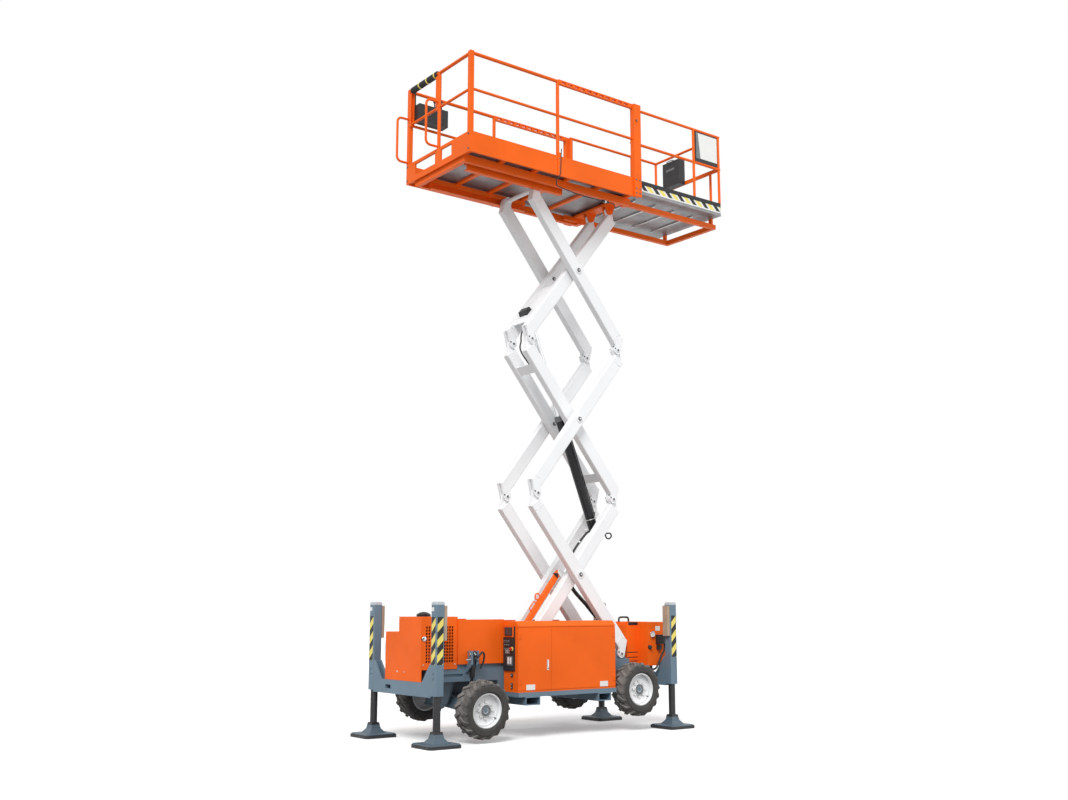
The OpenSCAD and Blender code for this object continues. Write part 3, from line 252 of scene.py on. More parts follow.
def dusty_rubber(name, colour, dust, hub):
    """Tyre rubber: dark walls about the hub and a tread with pale dust rubbed into its grain."""
    material, tree, shader = blank(name)
    wall_end, tread_start = 0.245, 0.300
    about = add(tree, "Mapping", {"Vector": place_socket(tree), "Scale": (1.0, 0.0, 1.0),
                                  "Location": (-hub.x, 0.0, -hub.z)})
    radius = add(tree, "VectorMath", {0: about.outputs["Vector"]}, "LENGTH").outputs["Value"]
    grime = uneven(tree, 9.0, 8.0, (0.35, 0.95), (0.36, 0.68))
    wall = mix(tree, grime, colour, shade(colour, 1.5))
    tread = mix(tree, grime, shade(colour, 2.0), dust)
    tone = mix(tree, remap(tree, radius, (wall_end, tread_start), (0.0, 1.0)), wall, tread)
    feed(tree, shader, {"Base Color": tone, "Roughness": uneven(tree, 30.0, 4.0, (0.72, 0.92))})
    bump(tree, shader, noise(tree, 180.0, 5.0), strength=0.25, distance=0.0015, rounding=0.004)
    return material


def tread_plate(name, colour, pitch):
    """Deck sheet with raised lozenges laid both ways."""
    material, tree, shader = blank(name)
    heights = []
    for angle in (45, -45):
        turn = add(tree, "Mapping", {"Vector": place_socket(tree), "Scale": (1.0 / pitch,) * 3,
                                     "Rotation": (0.0, 0.0, math.radians(angle))})
        cell = add(tree, "TexVoronoi", {"Vector": turn.outputs["Vector"], "Randomness": 0.0, "Scale": 1.0})
        heights.append(remap(tree, cell.outputs["Distance"], (0.28, 0.40), (1.0, 0.0)))
    both = add(tree, "Math", dict(enumerate(heights)), "MAXIMUM")
    tone = mix(tree, uneven(tree, 5.0, 6.0, old=(0.35, 0.65)), shade(colour, 0.7), colour)
    gloss = uneven(tree, 50.0, 4.0, (0.38, 0.55))
    feed(tree, shader, {"Metallic": 0.75, "Base Color": tone, "Roughness": gloss})
    bump(tree, shader, both.outputs["Value"], strength=0.6, distance=0.002, rounding=0.002)
    return material


def leg_finish(name, edges, colour_list):
    """Leg: rubber sole, painted cone and black rod, told apart by height."""
    material, tree, shader = blank(name)
    tone = height_bands(tree, edges, colour_list)
    feed(tree, shader, {"Base Color": tone, "Roughness": uneven(tree, 25.0, 5.0, (0.38, 0.62))})
    bump(tree, shader, noise(tree, 220.0, 3.0), strength=0.08, distance=0.0008, rounding=0.006)
    return material


PALETTE = {}
CAP_BASE = 1.382
CAP_GREY = (0.52, 0.55, 0.58)
SOLE_TOP = 0.034
CONE_TOP = 0.126
LOZENGE_PITCH = 0.045


def make_palette():
    """Every finish, by name."""
    own = bpy.context.scene.lift_colours
    leg_colours = (shade(own.black, 1.3), shade(own.steel_blue, 0.55), own.black)
    PALETTE.update(
        orange=paint("orange_paint", own.orange, shine=0.14),
        blue=paint("blue_grey_paint", own.steel_blue, rough=0.42),
        white=paint("white_paint", own.white, rough=0.38, vary=0.04),
        black=paint("black_paint", own.black, rough=0.30, vary=0.3),
        yellow=paint("yellow_film", own.yellow, rounding=0.0),
        # Black film: printed stripes, and painted shade on the rear box wall.
        ink=paint("black_film_and_painted_shade", shade(own.black, 1.4), rough=0.42, rounding=0.0),
        film=paint("white_film", (0.82, 0.82, 0.80), rounding=0.0),
        red=paint("red_plastic", (0.60, 0.02, 0.015), rough=0.28),
        plastic=moulded("black_plastic", (0.018, 0.018, 0.020)),
        screen=moulded("dark_screen", (0.045, 0.050, 0.055), rough=0.35),
        grey_plastic=moulded("grey_plastic", (0.16, 0.17, 0.18)),
        tan=moulded("tan_plastic", own.tan, rough=0.5),
        hose=moulded("hose_rubber", (0.014, 0.014, 0.015), rough=0.6, grain=300.0),
        foam=moulded("foam_rubber", (0.016, 0.016, 0.018), rough=0.8, grain=160.0),
        column=paint("column_paint", own.steel_blue, rough=0.42, cap=(CAP_BASE, CAP_GREY)),
        steel=metal("zinc_steel", (0.58, 0.58, 0.57), 0.30),
        dark_steel=metal("dark_steel", (0.16, 0.16, 0.17), 0.42),
        chrome=metal("chrome_rod", (0.72, 0.73, 0.75), 0.06, 0.08),
        deck=tread_plate("deck_plate", (0.30, 0.30, 0.31), LOZENGE_PITCH),
        leg=leg_finish("leg_finish", (SOLE_TOP, CONE_TOP), leg_colours),
    )
    for name in NODES:
        if name.startswith("tyre"):
            PALETTE[name] = dusty_rubber(f"{name}_rubber", own.rubber, own.dust, middle(name))


NODE_FINISH = {
    "blue_grey_paint": "blue", "orange_paint": "orange", "white_paint": "white", "black_paint": "black",
    "black_plastic": "plastic", "tan_plastic": "tan", "chrome_rod": "chrome", "bare_steel": "dark_steel",
    "deck_metal": "deck", "foam": "foam", "tyre_rubber": "plastic",
}
OWN_FINISH = {"leg": "leg", "outrigger": "column"}


def link(name, data):
    """A new object in the scene."""
    piece = bpy.data.objects.new(name, data)
    bpy.context.scene.collection.objects.link(piece)
    return piece


def disc(radius, top, base=0):
    """Profile of a plain disc."""
    return [(0, base), (radius, base), (radius, top), (0, top)]


def button(radius, side, top_radius, top):
    """Profile of a disc with a sloping rim."""
    return [(0, 0), (radius, 0), (radius, side), (top_radius, top), (0, top)]


def collar(inner, outer, start, end):
    """Profile of a plain ring."""
    return [(inner, start), (outer, start), (outer, end), (inner, end), (inner, start)]


class Shape:
    """One mesh piece, built up from simple solids in the part's own frame."""

    def __init__(self, name, finish=None):
        self.name = name
        self.mesh = bmesh.new()
        self.finishes = []
        self.index = 0
        if finish:
            self.use(finish)

    def use(self, finish):
        """Solids added from here on take this finish."""
        if finish not in self.finishes:
            self.finishes.append(finish)
        self.index = self.finishes.index(finish)
        return self

    def faces(self, points, rows):
        corners = [self.mesh.verts.new(point) for point in points]
        for row in rows:
            face = self.mesh.faces.new([corners[i] for i in row])
            face.material_index = self.index
            face.smooth = True

    def box(self, a, b):
        """Box between two corners."""
        ends = (Vector(a), Vector(b))
        points = [Vector((ends[i & 1].x, ends[i >> 1 & 1].y, ends[i >> 2].z)) for i in range(8)]
        self.faces(points, [(0, 2, 3, 1), (4, 5, 7, 6), (0, 1, 5, 4),
                            (2, 6, 7, 3), (0, 4, 6, 2), (1, 3, 7, 5)])

    def prism(self, outline, origin, along, up, depth):
        """Outline drawn in two directions and pulled out by a depth vector."""
        origin, depth = Vector(origin), Vector(depth)
        base = [origin + along * p[0] + up * p[1] for p in outline]
        n = len(base)
        rows = [tuple(reversed(range(n))), tuple(range(n, 2 * n))]
        rows += [(i, (i + 1) % n, n + (i + 1) % n, n + i) for i in range(n)]
        if along.cross(up).dot(depth) < 0.0:
            rows = [tuple(reversed(row)) for row in rows]
        self.faces(base + [p + depth for p in base], rows)

    def lathe(self, profile, centre, axis, count=24):
        """Profile of (radius, height) pairs turned about an axis; it closes on itself or on the axis."""
        axis = Vector(axis).normalized()
        turn = axis.to_track_quat("Z", "Y").to_matrix()
        centre = Vector(centre)
        angles = [2 * math.pi * i / count for i in range(count)]
        points, rings = [], []
        for radius, height in profile:
            if radius < 1e-6:
                rings.append([len(points)])
                points.append(centre + axis * height)
                continue
            rings.append(list(range(len(points), len(points) + count)))
            for angle in angles:
                spot = Vector((radius * math.cos(angle), radius * math.sin(angle), height))
                points.append(centre + turn @ spot)
        rows = []
        for lower, upper in zip(rings, rings[1:]):
            for i in range(count):
                walk = ((lower, i), (lower, i + 1), (upper, i + 1), (upper, i))
                row = tuple(dict.fromkeys(ring[k % len(ring)] for ring, k in walk))
                if len(row) > 2:
                    rows.append(row)
        self.faces(points, rows)

    def rod(self, a, b, radius, count=20):
        """Round bar between two points."""
        a, b = Vector(a), Vector(b)
        self.lathe(disc(radius, (b - a).length), a, b - a, count)

    def ring(self, centre, axis, radius, thick, count, section):
        """Torus."""
        angles = [2 * math.pi * i / section for i in range(section + 1)]
        profile = [(radius + thick * math.cos(angle), thick * math.sin(angle)) for angle in angles]
        self.lathe(profile, centre, axis, count)

    def bolt(self, centre, axis, width):
        """Hexagon head on a washer."""
        base, side, top = width * 0.1, width * 0.45, width * 0.55
        self.lathe(disc(width * 0.62, width * 0.12), centre, axis, 16)
        self.lathe([(0, base), (width * 0.5, base), (width * 0.5, side), (width * 0.40, top), (0, top)],
                   centre, axis, 6)

    def tube(self, route, radius, count=10, steps=8):
        """Smooth tube through the route's points."""
        path = smooth_path([Vector(p) for p in route], steps)
        points, rings = [], []
        tangent = (path[1] - path[0]).normalized()
        normal = tangent.orthogonal().normalized()
        for i, point in enumerate(path):
            ahead = path[min(i + 1, len(path) - 1)] - path[max(i - 1, 0)]
            ahead.normalize()
            normal = (normal - ahead * normal.dot(ahead)).normalized()
            side = ahead.cross(normal)
            rings.append(len(points))
            for k in range(count):
                angle = 2 * math.pi * k / count
                points.append(point + (normal * math.cos(angle) + side * math.sin(angle)) * radius)
        rows = []
        for a, b in zip(rings, rings[1:]):
            rows += [(a + k, a + (k + 1) % count, b + (k + 1) % count, b + k) for k in range(count)]
        rows.append(tuple(reversed(range(count))))
        rows.append(tuple(range(rings[-1], rings[-1] + count)))
        self.faces(points, rows)

    def done(self, body, edge=0.0):
        """Makes the object, rounds its edges and lets it ride on a body."""
        data = bpy.data.meshes.new(self.name)
        bmesh.ops.recalc_face_normals(self.mesh, faces=self.mesh.faces)
        self.mesh.to_mesh(data)
        self.mesh.free()
        for finish in self.finishes:
            data.materials.append(PALETTE[finish])
        data.set_sharp_from_angle(angle=math.radians(38))
        piece = link(self.name, data)
        if edge > 0.0:
            soft = piece.modifiers.new("rounded_edges", "BEVEL")
            soft.width = edge
            soft.segments = 2
            soft.limit_method = "ANGLE"
            soft.angle_limit = math.radians(40)
        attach(piece, body)


def smooth_path(points, steps):
    """Catmull-Rom curve through points."""
    if len(points) < 3:
        return points
    path = []
    ends = [2 * points[0] - points[1]] + points + [2 * points[-1] - points[-2]]
    for a, b, c, d in zip(ends, ends[1:], ends[2:], ends[3:]):
        for i in range(steps):
            t = i / steps
            path.append(0.5 * (2 * b + (c - a) * t + (2 * a - 5 * b + 4 * c - d) * t * t
                               + (3 * b - a - 3 * c + d) * t ** 3))
    path.append(points[-1])
    return path


class LIFT_OT_finish_nodes(bpy.types.Operator):
    """Give every solid its finish"""

    bl_idname = "lift.finish_nodes"
    bl_label = "Finish Solids"

    def execute(self, context):
        make_palette()
        for name, node in NODES.items():
            finish = OWN_FINISH.get(name.split("_")[0], NODE_FINISH[SLOT_OF[name]])
            if name in PALETTE:
                finish = name
            node.data.materials.clear()
            node.data.materials.append(PALETTE[finish])
            for face in node.data.polygons:
                face.use_smooth = True
            node.data.set_sharp_from_angle(angle=math.radians(30))
        return {"FINISHED"}


def clip_band(points, width):
    """Cuts a slanted stripe off at both ends of its band."""
    for edge, keep_above in ((0.0, True), (width, False)):
        kept = []
        for a, b in zip(points, points[1:] + points[:1]):
            a_in = a[1] >= edge if keep_above else a[1] <= edge
            b_in = b[1] >= edge if keep_above else b[1] <= edge
            if a_in:
                kept.append(a)
            if a_in != b_in:
                share = (edge - a[1]) / (b[1] - a[1])
                kept.append((a[0] + (b[0] - a[0]) * share, edge))
        points = kept
    return points


def hazard(shape, origin, along, up, normal, size, finishes, lean=1):
    """Stripes at 45 degrees on a face: size is width, height and stripe, lean is 1 for / and -1 for \\."""
    width, height, stripe = size
    shift = lean * height
    first = min(0.0, -shift)
    for k in range(math.ceil((width + height) / stripe)):
        start = first + k * stripe
        end = start + stripe
        outline = [(0.0, start), (0.0, end), (height, end + shift), (height, start + shift)]
        outline = [(run, rise) for rise, run in clip_band(outline, width)]
        if len(outline) > 2:
            shape.use(finishes[k % len(finishes)])
            shape.prism(outline, origin, along, up, Vector(normal) * sizes().decal)


MIDS = {level: pivot(f"cross_{level}") for level in LEVELS}
LEANS = {"outer": (-1, 1, -1), "inner": (1, -1, 1)}
LANES = {"outer": (0.245, 0.335), "inner": (0.135, 0.225)}
ARM_ANGLE = math.radians(51.37)
PIN_REACH = 1.0717
PIN_RISE = 0.0848
PIN_PROUD = 0.006
LOCK_BOLT = Vector((-0.040, 0.0, 0.020))


class Arm:
    """Places on one scissor arm: along it, across the machine and above its middle line."""

    def __init__(self, kind, level):
        lean = LEANS[kind][level - 1]
        self.body = f"{kind}_{level}"
        self.lanes = LANES[kind]
        self.origin = MIDS[level]
        self.along = Vector((lean * math.cos(ARM_ANGLE), 0.0, math.sin(ARM_ANGLE)))
        self.up = Vector((-lean * math.sin(ARM_ANGLE), 0.0, math.cos(ARM_ANGLE)))

    def at(self, u, y, v):
        return self.origin + self.along * u + Y * y + self.up * v


class LIFT_OT_columns(bpy.types.Operator):
    """Hazard stripes and blank films on the four leg columns, bolts on their beams"""

    bl_idname = "lift.columns"
    bl_label = "Dress Columns"

    def execute(self, context):
        half_column, half_film = 0.050, 0.035
        base, top = 0.794, 1.261
        card_low, card_high = 1.318, 1.356
        band = (2 * half_film, top - base, sizes().stripe)
        pair = ("ink", "yellow")
        for end, sx in ENDS:
            node = "outrigger_frame_left" if sx < 0 else "outrigger_frame_right"
            outer_x = low(node).x if sx < 0 else high(node).x
            outer_y = high(node).y
            films = Shape(f"column_film_{end}")
            cards = Shape(f"column_cards_{end}", "film")
            bolts = Shape(f"beam_bolts_{end}", "blue")
            card_x = outer_x + sx * sizes().decal
            for sy in SIGNS:
                cx, cy = outer_x - sx * half_column, sy * (outer_y - half_column)
                hazard(films, (outer_x, cy - sx * half_film, base), Y * sx, Z, X * sx, band, pair)
                hazard(films, (cx + sy * half_film, sy * outer_y, base), X * -sy, Z, Y * sy, band, pair)
                cards.box((outer_x, cy + sx * 0.006, card_low), (card_x, cy - sx * 0.042, card_high))
                for z in (0.66, 0.71):
                    bolts.bolt((outer_x, cy, z), X * sx, 0.018)
            films.done("chassis")
            cards.done("chassis")
            bolts.done("chassis", edge=0.001)
        return {"FINISHED"}


class LIFT_OT_engine_cover(bpy.types.Operator):
    """Latches, side guard and bolts of the engine cover"""

    bl_idname = "lift.engine_cover"
    bl_label = "Dress Engine Cover"

    def execute(self, context):
        a, b = low("engine_cover"), high("engine_cover")
        faces = ((a.y, -1), (b.y, 1))
        latches = Shape("engine_cover_latches")
        for y, sy in faces:
            latches.use("chrome")
            latches.lathe([(0, 0), (0.026, 0), (0.026, 0.006), (0.020, 0.011), (0, 0.012)],
                          (a.x + 0.036, y, 1.040), Y * sy, 28)
            latches.box((a.x + 0.030, y + sy * 0.008, 1.024), (a.x + 0.042, y + sy * 0.018, 1.056))
            latches.use("plastic").lathe(disc(0.010, 0.008), (a.x + 0.010, y, 1.036), Y * sy, 18)
        latches.done("chassis", edge=0.0015)
        guard = Shape("engine_cover_guard", "white")
        base, rise, bulge, steps = 0.760, 0.300, 0.040, 12
        arc = [(rise * k / steps, bulge * math.sin(math.pi * k / steps)) for k in range(steps + 1)]
        guard.prism(arc, (a.x + 0.006, b.y, base), Z, Y, X * 0.050)
        guard.done("chassis", edge=0.004)
        bolts = Shape("engine_cover_bolts", "steel")
        for y in (-0.033, 0.105):
            bolts.bolt((a.x, y, 0.700), -X, 0.014)
        for x in (-1.59, -1.21):
            for y, sy in faces:
                bolts.bolt((x, y, 0.780), Y * sy, 0.013)
        bolts.done("chassis", edge=0.0008)
        return {"FINISHED"}


class LIFT_OT_control_panel(bpy.types.Operator):
    """Switches, screen, stop button and lower box of the ground controls"""

    bl_idname = "lift.control_panel"
    bl_label = "Dress Control Panel"

    def execute(self, context):
        a, b = low("control_panel"), high("control_panel")
        face = a.x
        plate = face - 0.008
        panel = Shape("ground_controls")
        for finish, front, back, left, right, base, top in (
            ("orange", 0.006, 0.0, 0.010, 0.010, 1.046, 1.158),
            ("plastic", 0.014, 0.004, 0.030, 0.030, 1.058, 1.148),
            ("screen", 0.017, 0.012, 0.040, 0.044, 1.066, 1.140),
            ("plastic", 0.008, 0.0, 0.004, 0.004, 0.704, 1.040),
        ):
            panel.use(finish).box((face - front, a.y + left, base), (face - back, b.y - right, top))
        panel.use("grey_plastic")
        columns = [a.y + 0.085 + 0.036 * k for k in range(3)]
        for z in (1.005, 0.965, 0.925):
            for y in columns:
                panel.lathe(button(0.009, 0.006, 0.006, 0.008), (plate, y, z), -X, 16)
        panel.use("chrome")
        for y in columns:
            panel.rod((face - 0.014, y, 0.985), (face - 0.032, y, 0.992), 0.003, 10)
        panel.use("film")
        for z in (0.880, 0.892, 0.904, 0.916):
            panel.box((face - 0.0086, a.y + 0.075, z), (plate, b.y - 0.040, z + 0.004))
        panel.use("grey_plastic").box((face - 0.016, a.y + 0.020, 0.755), (plate, a.y + 0.110, 0.850))
        panel.use("film")
        for y in (a.y + 0.030, a.y + 0.070):
            panel.box((face - 0.0166, y, 0.772), (face - 0.016, y + 0.030, 0.838))
        panel.done("chassis", edge=0.002)
        stop_y, stop_z = a.y + 0.028, 0.925
        stop = Shape("ground_stop_button", "yellow")
        stop.lathe(disc(0.022, 0.005), (plate, stop_y, stop_z), -X, 28)
        stop.use("red")
        stop.lathe([(0, 0), (0.010, 0), (0.010, 0.012), (0.016, 0.014), (0.017, 0.022), (0.011, 0.027),
                    (0, 0.028)], (face - 0.013, stop_y, stop_z), -X, 28)
        stop.done("chassis", edge=0.001)
        wall = low("cabinets").x
        knobs = Shape("cabinet_end_fittings")
        for z, r in ((0.655, 0.020), (0.560, 0.016), (0.530, 0.014)):
            spot = (wall, a.y + 0.050, z)
            knobs.use("plastic").lathe(button(r, 0.010, r * 0.7, 0.016), spot, -X, 20)
            knobs.use("steel").lathe(disc(r * 0.45, 0.021, 0.014), spot, -X, 14)
        knobs.done("chassis", edge=0.001)
        return {"FINISHED"}


class LIFT_OT_doors(bpy.types.Operator):
    """Latches, hinges and blank cards of the four cabinet doors"""

    bl_idname = "lift.doors"
    bl_label = "Dress Doors"

    def execute(self, context):
        card_at = {-1: -0.493, 1: 0.514}
        for side, sy in SIDES:
            for hand, sx in (("left", -1), ("right", 1)):
                node = f"door_{side}_{hand}"
                a, b = low(node), high(node)
                face = a.y if sy < 0 else b.y
                shape = Shape(f"door_fittings_{side}_{hand}")
                if sx < 0:
                    free = b.x - 0.050
                    lock_z = 0.718
                    plate, grip, lock = (face + sy * depth for depth in (0.004, 0.012, 0.008))
                    shape.use("steel").box((free - 0.013, face, 0.700), (free + 0.013, plate, 0.808))
                    shape.use("chrome").box((free - 0.008, plate, 0.735), (free + 0.008, grip, 0.800))
                    shape.use("dark_steel").rod((free, face, lock_z), (free, lock, lock_z), 0.006, 14)
                hinge = a.x if sx < 0 else b.x
                leaf = face + sy * 0.003
                shape.use("orange")
                for z in (a.z + 0.090, b.z - 0.090):
                    shape.box((hinge - sx * 0.002, face, z - 0.030), (hinge - sx * 0.045, leaf, z + 0.030))
                    for dz in (-0.018, 0.018):
                        shape.bolt((hinge - sx * 0.030, leaf, z + dz), Y * sy, 0.009)
                if sy < 0:
                    spot = card_at[sx]
                    shape.use("film")
                    shape.box((spot, face, a.z + 0.004), (spot + 0.115, face - sizes().decal, a.z + 0.060))
                shape.done(node, edge=0.001)
        return {"FINISHED"}


def around(share, first, second):
    """Direction a share of a turn on from the first of two directions."""
    angle = 2 * math.pi * share
    return first * math.cos(angle) + second * math.sin(angle)


class LIFT_OT_wheels(bpy.types.Operator):
    """Nuts, hub covers, valve stems and lips of the four wheels"""

    bl_idname = "lift.wheels"
    bl_label = "Dress Wheels"

    def execute(self, context):
        disc_face, hub_face, lip_face = 0.046, 0.064, 0.094
        lip_ring, step_ring, stud_ring, hub_ring = 0.1685, 0.148, 0.0825, 0.044
        cover = 0.004
        nut = [(0.0092, 0), (0.0165, 0), (0.0165, 0.012), (0.0145, 0.015), (0.0092, 0.015), (0.0092, 0)]
        for end, _ in ENDS:
            for side, sy in SIDES:
                joint = f"wheel_{end}_{side}_spin"
                centre = pivot(joint)
                axis = Vector(JOINTS[joint]["axis"]) * sy
                upward = axis.cross(X) * sy
                shape = Shape(f"wheel_fittings_{end}_{side}", "steel")
                for i in range(8):
                    spoke = around(i / 8, X, upward)
                    shape.lathe(nut, centre + spoke * stud_ring + axis * disc_face, axis, 6)
                shape.use("grey_plastic")
                shape.lathe(collar(0.030, 0.058, 0, cover), centre + axis * hub_face, axis, 32)
                for i in range(6):
                    spoke = around((i + 0.5) / 6, X, upward)
                    shape.bolt(centre + spoke * hub_ring + axis * (hub_face + cover), axis, 0.011)
                shape.use("white")
                shape.ring(centre + axis * lip_face, axis, lip_ring, 0.005, 56, 10)
                shape.ring(centre + axis * (disc_face + 0.004), axis, step_ring, 0.006, 48, 8)
                shape.use("plastic")
                foot = centre + X * 0.120 + upward * 0.080 + axis * disc_face
                shape.rod(foot, foot + axis * 0.032, 0.005, 10)
                shape.done(f"wheel_{end}_{side}", edge=0.0008)
        return {"FINISHED"}


class LIFT_OT_axle_fittings(bpy.types.Operator):
    """Hoses, pins and pipes of the front axle rams"""

    bl_idname = "lift.axle_fittings"
    bl_label = "Dress Axle Rams"

    def execute(self, context):
        x = middle("axle_rams").x
        eye_half, eye_radius = 0.0465, 0.0235
        loop = ((0.0, 0.018, 0.0), (0.010, 0.050, 0.020), (0.045, 0.056, 0.058),
                (0.082, 0.040, 0.030), (0.092, 0.012, -0.040), (0.072, -0.016, -0.110))
        for side, sy in SIDES:
            shape = Shape(f"ram_fittings_{side}", "chrome")
            eye = Vector((x, sy * 0.424, 0.880))
            for sx in SIGNS:
                shape.lathe(button(0.017, 0.008, 0.012, 0.012), eye + X * sx * eye_half, X * sx, 20)
            shape.lathe([(0, 0), (0.014, 0), (0.012, 0.005), (0, 0.007)],
                        eye + Y * sy * eye_radius, Y * sy, 20)
            port = eye + Vector((0.0, sy * 0.028, -0.040))
            shape.use("steel").rod(port, port + Y * sy * 0.022, 0.012, 6)
            shape.use("hose").tube([port + Vector((dx, sy * dy, dz)) for dx, dy, dz in loop], sizes().hose)
            pipe = eye + Vector((-0.046, sy * 0.014, -0.055))
            shape.use("steel").tube([pipe, pipe + X * -0.030, pipe + X * -0.062], 0.006)
            shape.done("chassis", edge=0.001)
        return {"FINISHED"}


class LIFT_OT_arm_fittings(bpy.types.Operator):
    """Weld beads, pin ends and lock bolts on the six arms"""

    bl_idname = "lift.arm_fittings"
    bl_label = "Dress Arms"

    def execute(self, context):
        bead_half, bead_end, bead_mid = 0.066, 0.945, 0.925
        for arm in (Arm(kind, level) for level in LEVELS for kind in ("outer", "inner")):
            shape = Shape(f"arm_fittings_{arm.body}", "white")
            lane = arm.lanes[1] if arm.body.startswith("outer") else arm.lanes[0]
            for face in (-lane, lane):
                for end in SIGNS:
                    shape.tube([arm.at(end * bead_end, face, -bead_half), arm.at(end * bead_mid, face, 0.0),
                                arm.at(end * bead_end, face, bead_half)], 0.0035, 8, 6)
            shape.use("dark_steel")
            for side in SIGNS if arm.body != "inner_1" else ():
                for edge, out in ((arm.lanes[1], side), (arm.lanes[0], -side)):
                    pin = arm.at(-PIN_REACH, side * edge, -PIN_RISE)
                    shape.lathe(button(0.015, 0.002, 0.012, 0.004), pin + Y * out * PIN_PROUD, Y * out, 20)
                    shape.bolt(pin + LOCK_BOLT, Y * out, sizes().bolt * 0.75)
            shape.done(arm.body, edge=0.0008)
        for level in LEVELS:
            pins = Shape(f"mid_pin_ends_{level}")
            edge = max(abs(low(f"inner_arm_{level}").y), high(f"inner_arm_{level}").y)
            for sy in SIGNS:
                for reach, out in ((edge, sy), (LANES["inner"][0], -sy)):
                    spot = MIDS[level] + Y * sy * reach
                    pins.use("dark_steel").lathe(button(0.024, 0.006, 0.018, 0.010), spot, Y * out, 24)
                    pins.use("steel").bolt(spot + Y * out * 0.010, Y * out, 0.016)
            pins.done(f"inner_{level}", edge=0.0008)
        return {"FINISHED"}


def clipped_hose(name, arm, route, radius, clips=()):
    """Hose along an arm, held by clips at the given places."""
    shape = Shape(name, "hose")
    shape.tube([arm.at(*spot) for spot in route], radius)
    shape.use("steel")
    for spot in clips:
        shape.lathe(collar(radius, radius + 0.003, -0.009, 0.009), arm.at(*spot), arm.along, 16)
    shape.done(arm.body)


class LIFT_OT_plumbing(bpy.types.Operator):
    """Hoses along the scissor stack and the lift cylinder's pipe and gland"""

    bl_idname = "lift.plumbing"
    bl_label = "Run Plumbing"

    def execute(self, context):
        lane = LANES["inner"][0]
        near = -lane + 0.016
        thin, thick, sleeve = 0.009, 0.013, 0.022
        sleeve_y = -0.096
        first, second, third = (Arm("inner", level) for level in LEVELS)
        bend = (0.68, near + 0.002, -0.039)
        clipped_hose("hose_unit_2", second,
                     [(0.28, near, -0.045), (0.45, near, -0.045), (0.60, near, -0.042), bend,
                      (0.76, -0.098, -0.034), (0.83, -0.074, -0.028), (0.90, -0.050, -0.018),
                      (0.973, -0.030, -0.004), (1.030, -0.018, 0.026), (PIN_REACH, -0.010, PIN_RISE)],
                     thin, [(0.45, near, -0.045), bend])
        clipped_hose("hose_unit_3", third,
                     [(-PIN_REACH, -0.010, -PIN_RISE), (-1.006, -0.010, -0.037), (-0.933, -0.015, -0.011),
                      (-0.82, -0.060, 0.025), (-0.70, near, 0.045), (-0.30, near, 0.045),
                      (0.10, near, 0.045)], thin, [(-0.70, near, 0.045), (-0.30, near, 0.045)])
        block = Shape("hose_block_unit_3", "plastic")
        block.prism([(-0.76, 0.050), (-0.66, 0.050), (-0.66, 0.100), (-0.73, 0.105)],
                    third.origin + Y * -0.020, third.along, third.up, Y * (lane + 0.020))
        block.done(third.body, edge=0.003)
        clipped_hose("hose_unit_1", first,
                     [(0.0, sleeve_y, 0.0), (0.07, -0.100, 0.036), (0.15, -0.109, 0.080),
                      (0.255, -0.115, 0.108), (0.397, -0.115, 0.106), (0.541, -0.113, 0.088),
                      (0.63, -0.108, 0.055), (0.685, -0.104, 0.020), (0.705, -0.102, -0.008)],
                     thick, [(0.397, -0.115, 0.106)])
        joint = Shape("hose_joint_unit_1", "black")
        joint.lathe(button(0.034, 0.060, 0.030, 0.066), MIDS[1] + Y * -0.132, Y, 28)
        joint.done("inner_1", edge=0.001)
        clipped_hose("hose_loop_unit_1", first,
                     [(0.66, -0.150, -0.078), (0.715, -0.150, -0.115), (0.760, -0.152, -0.160),
                      (0.750, -0.155, -0.195), (0.705, -0.160, -0.190), (0.680, -0.162, -0.155),
                      (0.690, -0.166, -0.115), (0.735, -0.170, -0.080)], thin)
        run = ((-0.80, 0.048), (-0.715, 0.044), (-0.642, 0.036), (-0.554, 0.022), (-0.431, 0.006),
               (-0.318, -0.016), (-0.210, -0.034), (-0.120, -0.034), (-0.050, -0.020), (0.0, 0.0))
        clipped_hose("hose_sleeve_unit_1", Arm("outer", 1), [(u, sleeve_y, v) for u, v in run],
                     sleeve, [(-0.642, sleeve_y, 0.036)])

        eye = pivot("lift_barrel_pivot")
        axis = Vector(JOINTS["lift_rod_stroke"]["axis"]).normalized()
        side = Y.cross(axis).normalized()
        tube = 0.0572
        barrel = Shape("lift_barrel_fittings", "dark_steel")
        barrel.lathe([(tube, 1.350), (0.0625, 1.353), (0.0625, 1.404), (0.0600, 1.410), (0.0350, 1.410),
                      (0.0350, 1.404), (tube, 1.404), (tube, 1.350)], eye, axis, 40)
        barrel.use("steel")
        barrel.lathe([(tube, 0.130), (0.0590, 0.131), (0.0590, 0.139), (tube, 0.140), (tube, 0.130)],
                     eye, axis, 40)
        barrel.use("black")
        low_port, high_port = (eye + axis * reach + side * 0.066 for reach in (0.185, 1.300))
        for port in (low_port, high_port):
            barrel.rod(port - side * 0.012, port + side * 0.018, 0.016, 6)
        barrel.tube([low_port + side * 0.010, low_port + side * 0.012 + axis * 0.050,
                     high_port + side * 0.012 - axis * 0.05, high_port + side * 0.010], 0.007, 10, 10)
        barrel.done("lift_barrel", edge=0.001)
        rod = Shape("lift_rod_fittings", "steel")
        rod.lathe(collar(0.0325, 0.036, -0.190, -0.182), pivot("lift_rod_stroke"), axis, 32)
        rod.done("lift_rod")
        return {"FINISHED"}


